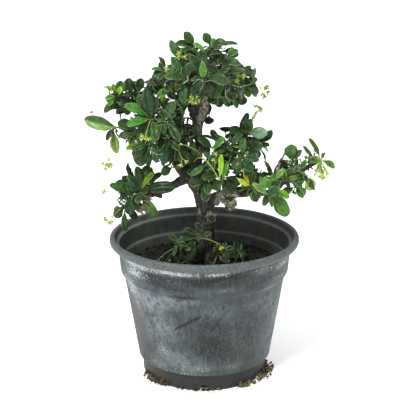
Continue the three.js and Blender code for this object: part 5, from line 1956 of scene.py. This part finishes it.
# Long thin young shoots that arch between the leaves: their points, radius and colour
ARCHING_STALKS = [
    ([(-11, -10, 231), (-6, -26, 240), (1, -38, 241), (8, -42, 234), (15, -44, 222)], 0.6, (160, 184, 70)),
    ([(-1, -6, 232), (-6, -26, 246), (-14, -34, 253), (-20, -36, 256), (-26, -36, 256)], 0.5, (150, 172, 74)),
    ([(-24, -38, 334), (-28, -45, 332), (-31, -46, 326), (-36, -46, 324), (-40, -45, 318)], 0.45,
     (112, 130, 100)),
    ([(-13, -46, 332), (-16, -50, 329), (-16, -50, 325), (-20, -50, 322), (-23, -49, 320)], 0.6,
     (150, 166, 142)),
    ([(18, -46, 320), (21, -48, 317), (21, -46, 310), (23, -44, 305)], 0.5, (150, 166, 142)),
    ([(1, -52, 324), (8, -54, 326), (15, -52, 324), (20, -48, 319)], 0.45, (124, 144, 112)),
    ([(-11, -54, 322), (-5, -56, 327), (-1, -56, 324), (-2, -55, 317)], 0.4, (112, 134, 100)),
    ([(-46, -42, 295), (-40, -44, 294), (-34, -44, 288), (-30, -42, 279)], 0.3, (116, 138, 102)),
    ([(-49, -44, 286), (-44, -46, 283), (-38, -45, 282), (-34, -43, 275)], 0.3, (106, 128, 94)),
    ([(-36, -40, 306), (-30, -42, 303), (-24, -42, 297), (-21, -40, 289)], 0.3, (110, 132, 98)),
    ([(23, -36, 338), (31, -38, 337), (38, -36, 338)], 0.4, (116, 138, 102)),
    ([(26, -40, 319), (33, -42, 317), (41, -38, 317), (47, -34, 318)], 0.4, (120, 142, 100)),
    ([(-54, -44, 253), (-48, -46, 249), (-41, -45, 249)], 0.4, (132, 152, 120)),
    ([(-75, 6, 300), (-77, 6, 305), (-73, 6, 309), (-68, 6, 308), (-66, 6, 303)], 1.1, (54, 80, 50)),
    ([(79, -5, 232), (84, -8, 231), (90, -10, 224)], 0.9, (104, 92, 72)),
    ([(15, -26, 309), (22, -36, 318), (24, -38, 310), (26, -38, 304)], 0.45, (112, 134, 86)),
    ([(-67, -24, 267), (-74, -30, 262), (-76, -32, 256)], 0.45, (140, 160, 62)),
    ([(49, -26, 209), (44, -34, 216), (40, -36, 224), (40, -34, 234)], 0.6, (168, 164, 64)),
]


def stalk_piece(material):
    """The arching shoots, each a little thicker at its root"""
    patch = Patch()
    for places, radius, tone in ARCHING_STALKS:
        radii = [radius * 1.15] + [radius] * (len(places) - 1)
        add_stalk(patch, places, radii, 1.5, linear(tone), STALK_SIDES)
    return patch.object("arching_stalks", material)


def make_camera():
    data = bpy.data.cameras.new("camera")
    data.sensor_width = SENSOR
    data.lens = FOCAL_PIXELS * SENSOR / PHOTO_PIXELS
    camera = bpy.data.objects.new("camera", data)
    bpy.context.scene.collection.objects.link(camera)
    camera.location = Vector(CAMERA_PLACE) * MM
    camera.rotation_euler = (math.radians(90 - CAMERA_PITCH), 0, 0)
    bpy.context.scene.camera = camera


def make_sun(name, way, strength, softness):
    """Even light from one side of the studio, as from a large soft box. softness is its angle in degrees."""
    data = bpy.data.lights.new(name, "SUN")
    data.energy = strength
    data.angle = math.radians(softness)
    lamp = bpy.data.objects.new(name, data)
    bpy.context.scene.collection.objects.link(lamp)
    lamp.location = way
    lamp.rotation_euler = (-Vector(way)).to_track_quat("-Z", "Y").to_euler()


# The floor's half width in metres, how brightly it and the sky shine, and the lights: way, strength, softness
FLOOR_REACH = 60
FLOOR_GLOW = 0.3
SKY_STRENGTH = 0.52
SUNS = {"key": ((-0.75, -1.15, 1.8), 3.3, 20), "top": ((0.4, 0.5, 2.0), 1.0, 80)}


def make_stage():
    """A pale floor, an even pale sky and two soft lights"""
    mesh = bpy.data.meshes.new("floor")
    corners = [(-1, -1), (1, -1), (1, 1), (-1, 1)]
    mesh.from_pydata([(x * FLOOR_REACH, y * FLOOR_REACH, 0) for x, y in corners], [], [(0, 1, 2, 3)])
    g = Graph("pale_floor")
    mesh.materials.append(g.finish((0.95, 0.95, 0.95), 0.9, Specular_IOR_Level=0.1,
                                   Emission_Color=(1, 1, 1, 1), Emission_Strength=FLOOR_GLOW))
    link("floor", mesh)
    world = bpy.data.worlds.new("pale_sky")
    world.use_nodes = True
    sky = world.node_tree.nodes["Background"]
    sky.inputs["Color"].default_value = (0.97, 0.985, 1, 1)
    sky.inputs["Strength"].default_value = SKY_STRENGTH
    bpy.context.scene.world = world
    bpy.context.scene.view_settings.view_transform = "Standard"
    for name, light in SUNS.items():
        make_sun(name, *light)


PETAL_TONES = named_tones(
    faded=(198, 110, 62), pinkish=(196, 150, 128), yellow=(214, 170, 58), berry=(170, 168, 48),
    dead=(116, 106, 84), green=(176, 198, 92), olive=(104, 116, 44))

# A cluster's colours: of its buds, then of its open flowers
CLUSTER_TONES = {
    "crown_far_right": ("olive", "faded"), "left_low": ("green", "pinkish"), "base": ("yellow", "yellow"),
    "far_left_berry": ("berry", "berry"), "lower_left_dead": ("dead", "dead"),
    "lower_left_low": ("green", "pinkish"), "crown_left": ("green", "yellow"),
}
STALK_GREEN = linear((128, 152, 60))
STALK_DEAD = linear((88, 80, 62))
BERRIES = {"far_left_berry"}
SPIKE = "middle_spike"
SPIKE_BUDS = 5
WITHERED = "lower_left_dead"
CALYX_GREEN = linear((158, 186, 84))
LEAFY_GREEN = linear((84, 122, 48))
SPIKE_TIP = linear((60, 74, 70))


def flower_piece(index, material):
    """A cluster of buds and small flowers on thin stalks, on the model's own lines"""
    name, spray, host, top, arm, buds, blooms = CLUSTERS[index]
    shoots = next(stem[2] for stem in SPRAYS if stem[0] == spray)
    draw = stream(SEEDS["cluster"] + 100 * index)
    start = point(shoots[host].tip)
    end = point(top)
    middle = (start + end) / 2 + UP * np.linalg.norm(end - start) * 0.08
    bud_tone, bloom_tone = CLUSTER_TONES.get(name, ("green", "green"))
    stalk = STALK_DEAD if bud_tone == "dead" else STALK_GREEN
    bud_colour = PETAL_TONES[bud_tone]
    patch = Patch()
    add_stalk(patch, [start, middle, end], [0.5, 0.38, 0.42], 1.5, stalk)
    direction = unit(end - middle)
    for k in range(buds + blooms):
        out = square_to(direction, GOLDEN * k + draw())
        reach = unit(direction + out * (0.35 + 0.75 * draw()))
        base = end + (middle - end) * 0.25 * k / (buds + blooms)
        tip = base + reach * arm * (0.75 + 0.5 * draw())
        bend = (base + tip) / 2 + UP * arm * 0.06
        add_stalk(patch, [base, bend, tip], [0.34, 0.26, 0.3], 1.2, stalk)
        ground = stream(SEEDS["bloom"] + 100 * index + k)
        if k >= buds:
            add_bloom(patch, tip, reach, PETAL_TONES[bloom_tone], ground)
        elif name in BERRIES:
            add_bud(patch, tip, reach, 1.6, 1.0, bud_colour)
            add_sepals(patch, tip - reach * 1.4, reach, 1.9, 0.9, CALYX_GREEN, CALYX_GREEN, ground)
        else:
            spiky = SPIKE_TIP if name == SPIKE else bud_colour
            add_bud(patch, tip, reach, 0.95, 1.7, bud_colour)
            add_sepals(patch, tip - reach * 0.9, reach, 4.0, 0.5, bud_colour, spiky, ground)
    if name == SPIKE:
        for k in range(SPIKE_BUDS):
            place = start + (end - start) * (0.45 + 0.12 * k)
            ground = stream(SEEDS["spike"] + k)
            add_sepals(patch, place, direction, 3.2, 0.7, CALYX_GREEN, SPIKE_TIP, ground)
            add_bud(patch, place + direction, direction, 1.0, 1.4, CALYX_GREEN)
    if name == WITHERED:
        dry_tuft(patch)
    return patch.object(f"blossom_{name}", material, material)


DRY_TUFT = ((-60, -19, 197), (9, 4, 8))
DRY_TUFT_TONES = [(128, 120, 102), (76, 68, 54), (172, 164, 144), (50, 46, 38)]
DRY_SCALES = 54


def dry_tuft(patch):
    """Shaggy dry scales and withered stalks on the end of the lower left bough"""
    rng = np.random.default_rng(SEEDS["dry_tuft"])
    middle, spread = (point(p) for p in DRY_TUFT)
    for number in range(DRY_SCALES):
        base = middle + rng.normal(size=3) * spread * 0.34
        way = unit(rng.normal(size=3) + (0, -0.5, -0.7))
        length = rng.uniform(3.5, 8)
        look = np.cross(way, unit(rng.normal(size=3)))
        blade = Blade(base, base + way * length, length * rng.uniform(0.22, 0.4), look, "slim")
        tone = linear(DRY_TUFT_TONES[number % len(DRY_TUFT_TONES)])
        add_leaf(patch, blade, tone, stream(SEEDS["tuft_leaf"] + number), SLIM)


def turned_about(line, axis, origin, sides, ripple=None):
    """Points and faces of a body turned about any axis, from (distance along, radius) pairs"""
    first, second = across(axis)
    turns = np.arange(sides) * 2 * math.pi / sides
    rings = []
    for along, radius in line[1:-1]:
        reach = radius * (1 + (ripple(turns) if ripple else 0 * turns))
        rings.append(origin + axis * along + np.outer(np.cos(turns) * reach, first)
                     + np.outer(np.sin(turns) * reach, second))
    points = np.vstack([origin + axis * line[0][0], *rings, origin + axis * line[-1][0]])
    return points, [(face[0], *face[:0:-1]) for face in turned_faces(sides, len(rings))]


def add_bud(patch, place, axis, radius, slimness, tone):
    """A closed bud or small fruit, slimness times as long as a round one"""
    line = [(-1.2, 0), (-1.1, 0.45), (-0.5, 0.8), (0.1, 1.0), (0.7, 0.82), (1.15, 0.4), (1.3, 0)]
    sized = [(along * radius * slimness, share * radius) for along, share in line]
    body = turned_about(sized, axis, place, BUD_SIDES, lambda turns: 0.07 * np.cos(5 * turns))
    patch.add(*body, 0, tone)


def add_sepals(patch, place, axis, length, spread, tone, tip_tone, draw):
    """Five narrow pointed lobes. spread is how far they lean out, from 0 to 1."""
    for k in range(5):
        out = square_to(axis, k * math.tau / 5 + draw())
        way = unit(axis * (1.05 - spread) + out * (0.35 + 0.65 * spread + 0.25 * (draw() - 0.5)))
        tip = place + way * length * (0.8 + 0.4 * draw())
        blade = Blade(place + out * 0.3, tip, 1.0, axis - out * 0.5, "slim")
        points, values = leaf_points(blade, SLIM, draw)
        share = np.clip((values[:, [1]] / length - 0.35) / 0.5, 0, 1)
        patch.add(points, SLIM.faces, SLIM.looks, mixed(tone, tip_tone, share), values)


def add_bloom(patch, place, axis, tone, draw):
    """A short throat with five small curled petals over five narrow sepals"""
    throat = [(-1.6, 0), (-1.4, 0.6), (0, 0.9), (1.1, 1.1), (1.2, 0)]
    patch.add(*turned_about(throat, axis, place, BUD_SIDES), 0, CALYX_GREEN)
    add_sepals(patch, place - axis * 0.9, axis, 3.2, 0.6, CALYX_GREEN, CALYX_GREEN, draw)
    for k in range(5):
        out = square_to(axis, (k + 0.5) * math.tau / 5 + 0.5 * draw())
        base = place + axis * 0.6 + out * 0.5
        tip = base + unit(out + axis * (0.3 + 1.2 * draw())) * (2.6 + draw())
        blade = Blade(base, tip, 1.9, axis - out * 0.4, "small")
        add_leaf(patch, blade, tone, draw, SMALL)


def main():
    make_camera()
    make_stage()
    looks = {"upper": leaf_upper_look(), "under": leaf_under_look(), "stem": stem_look()}
    crumbs = crumb_look()
    bark = bark_look()
    settle(pot_piece(pot_look()), "pot", "pot")
    settle(soil_piece(soil_look()), "soil", "soil")
    settle(soil_crumbs(crumbs), "soil")
    settle(litter_piece(looks["stem"]), "leaf")
    settle(foot_crust(crumbs), "soil")
    settle(foot_grit(crumbs), "soil")
    lines = wood_lines()
    trunk = wood_piece(lines)
    trunk.data.materials.append(bark)
    settle(trunk, "bark", "trunk")
    crust = crust_piece(lines)
    crust.data.materials.append(bark)
    settle(crust, "bark")
    spray_pieces(looks, lines)
    settle(stalk_piece(looks["stem"]), "leaf")
    petals = petal_look()
    settle(peeping_buds(petals), "flower")
    for index, bunch in enumerate(CLUSTERS):
        settle(flower_piece(index, petals), "flower", f"flowers_{bunch[0]}")


main()
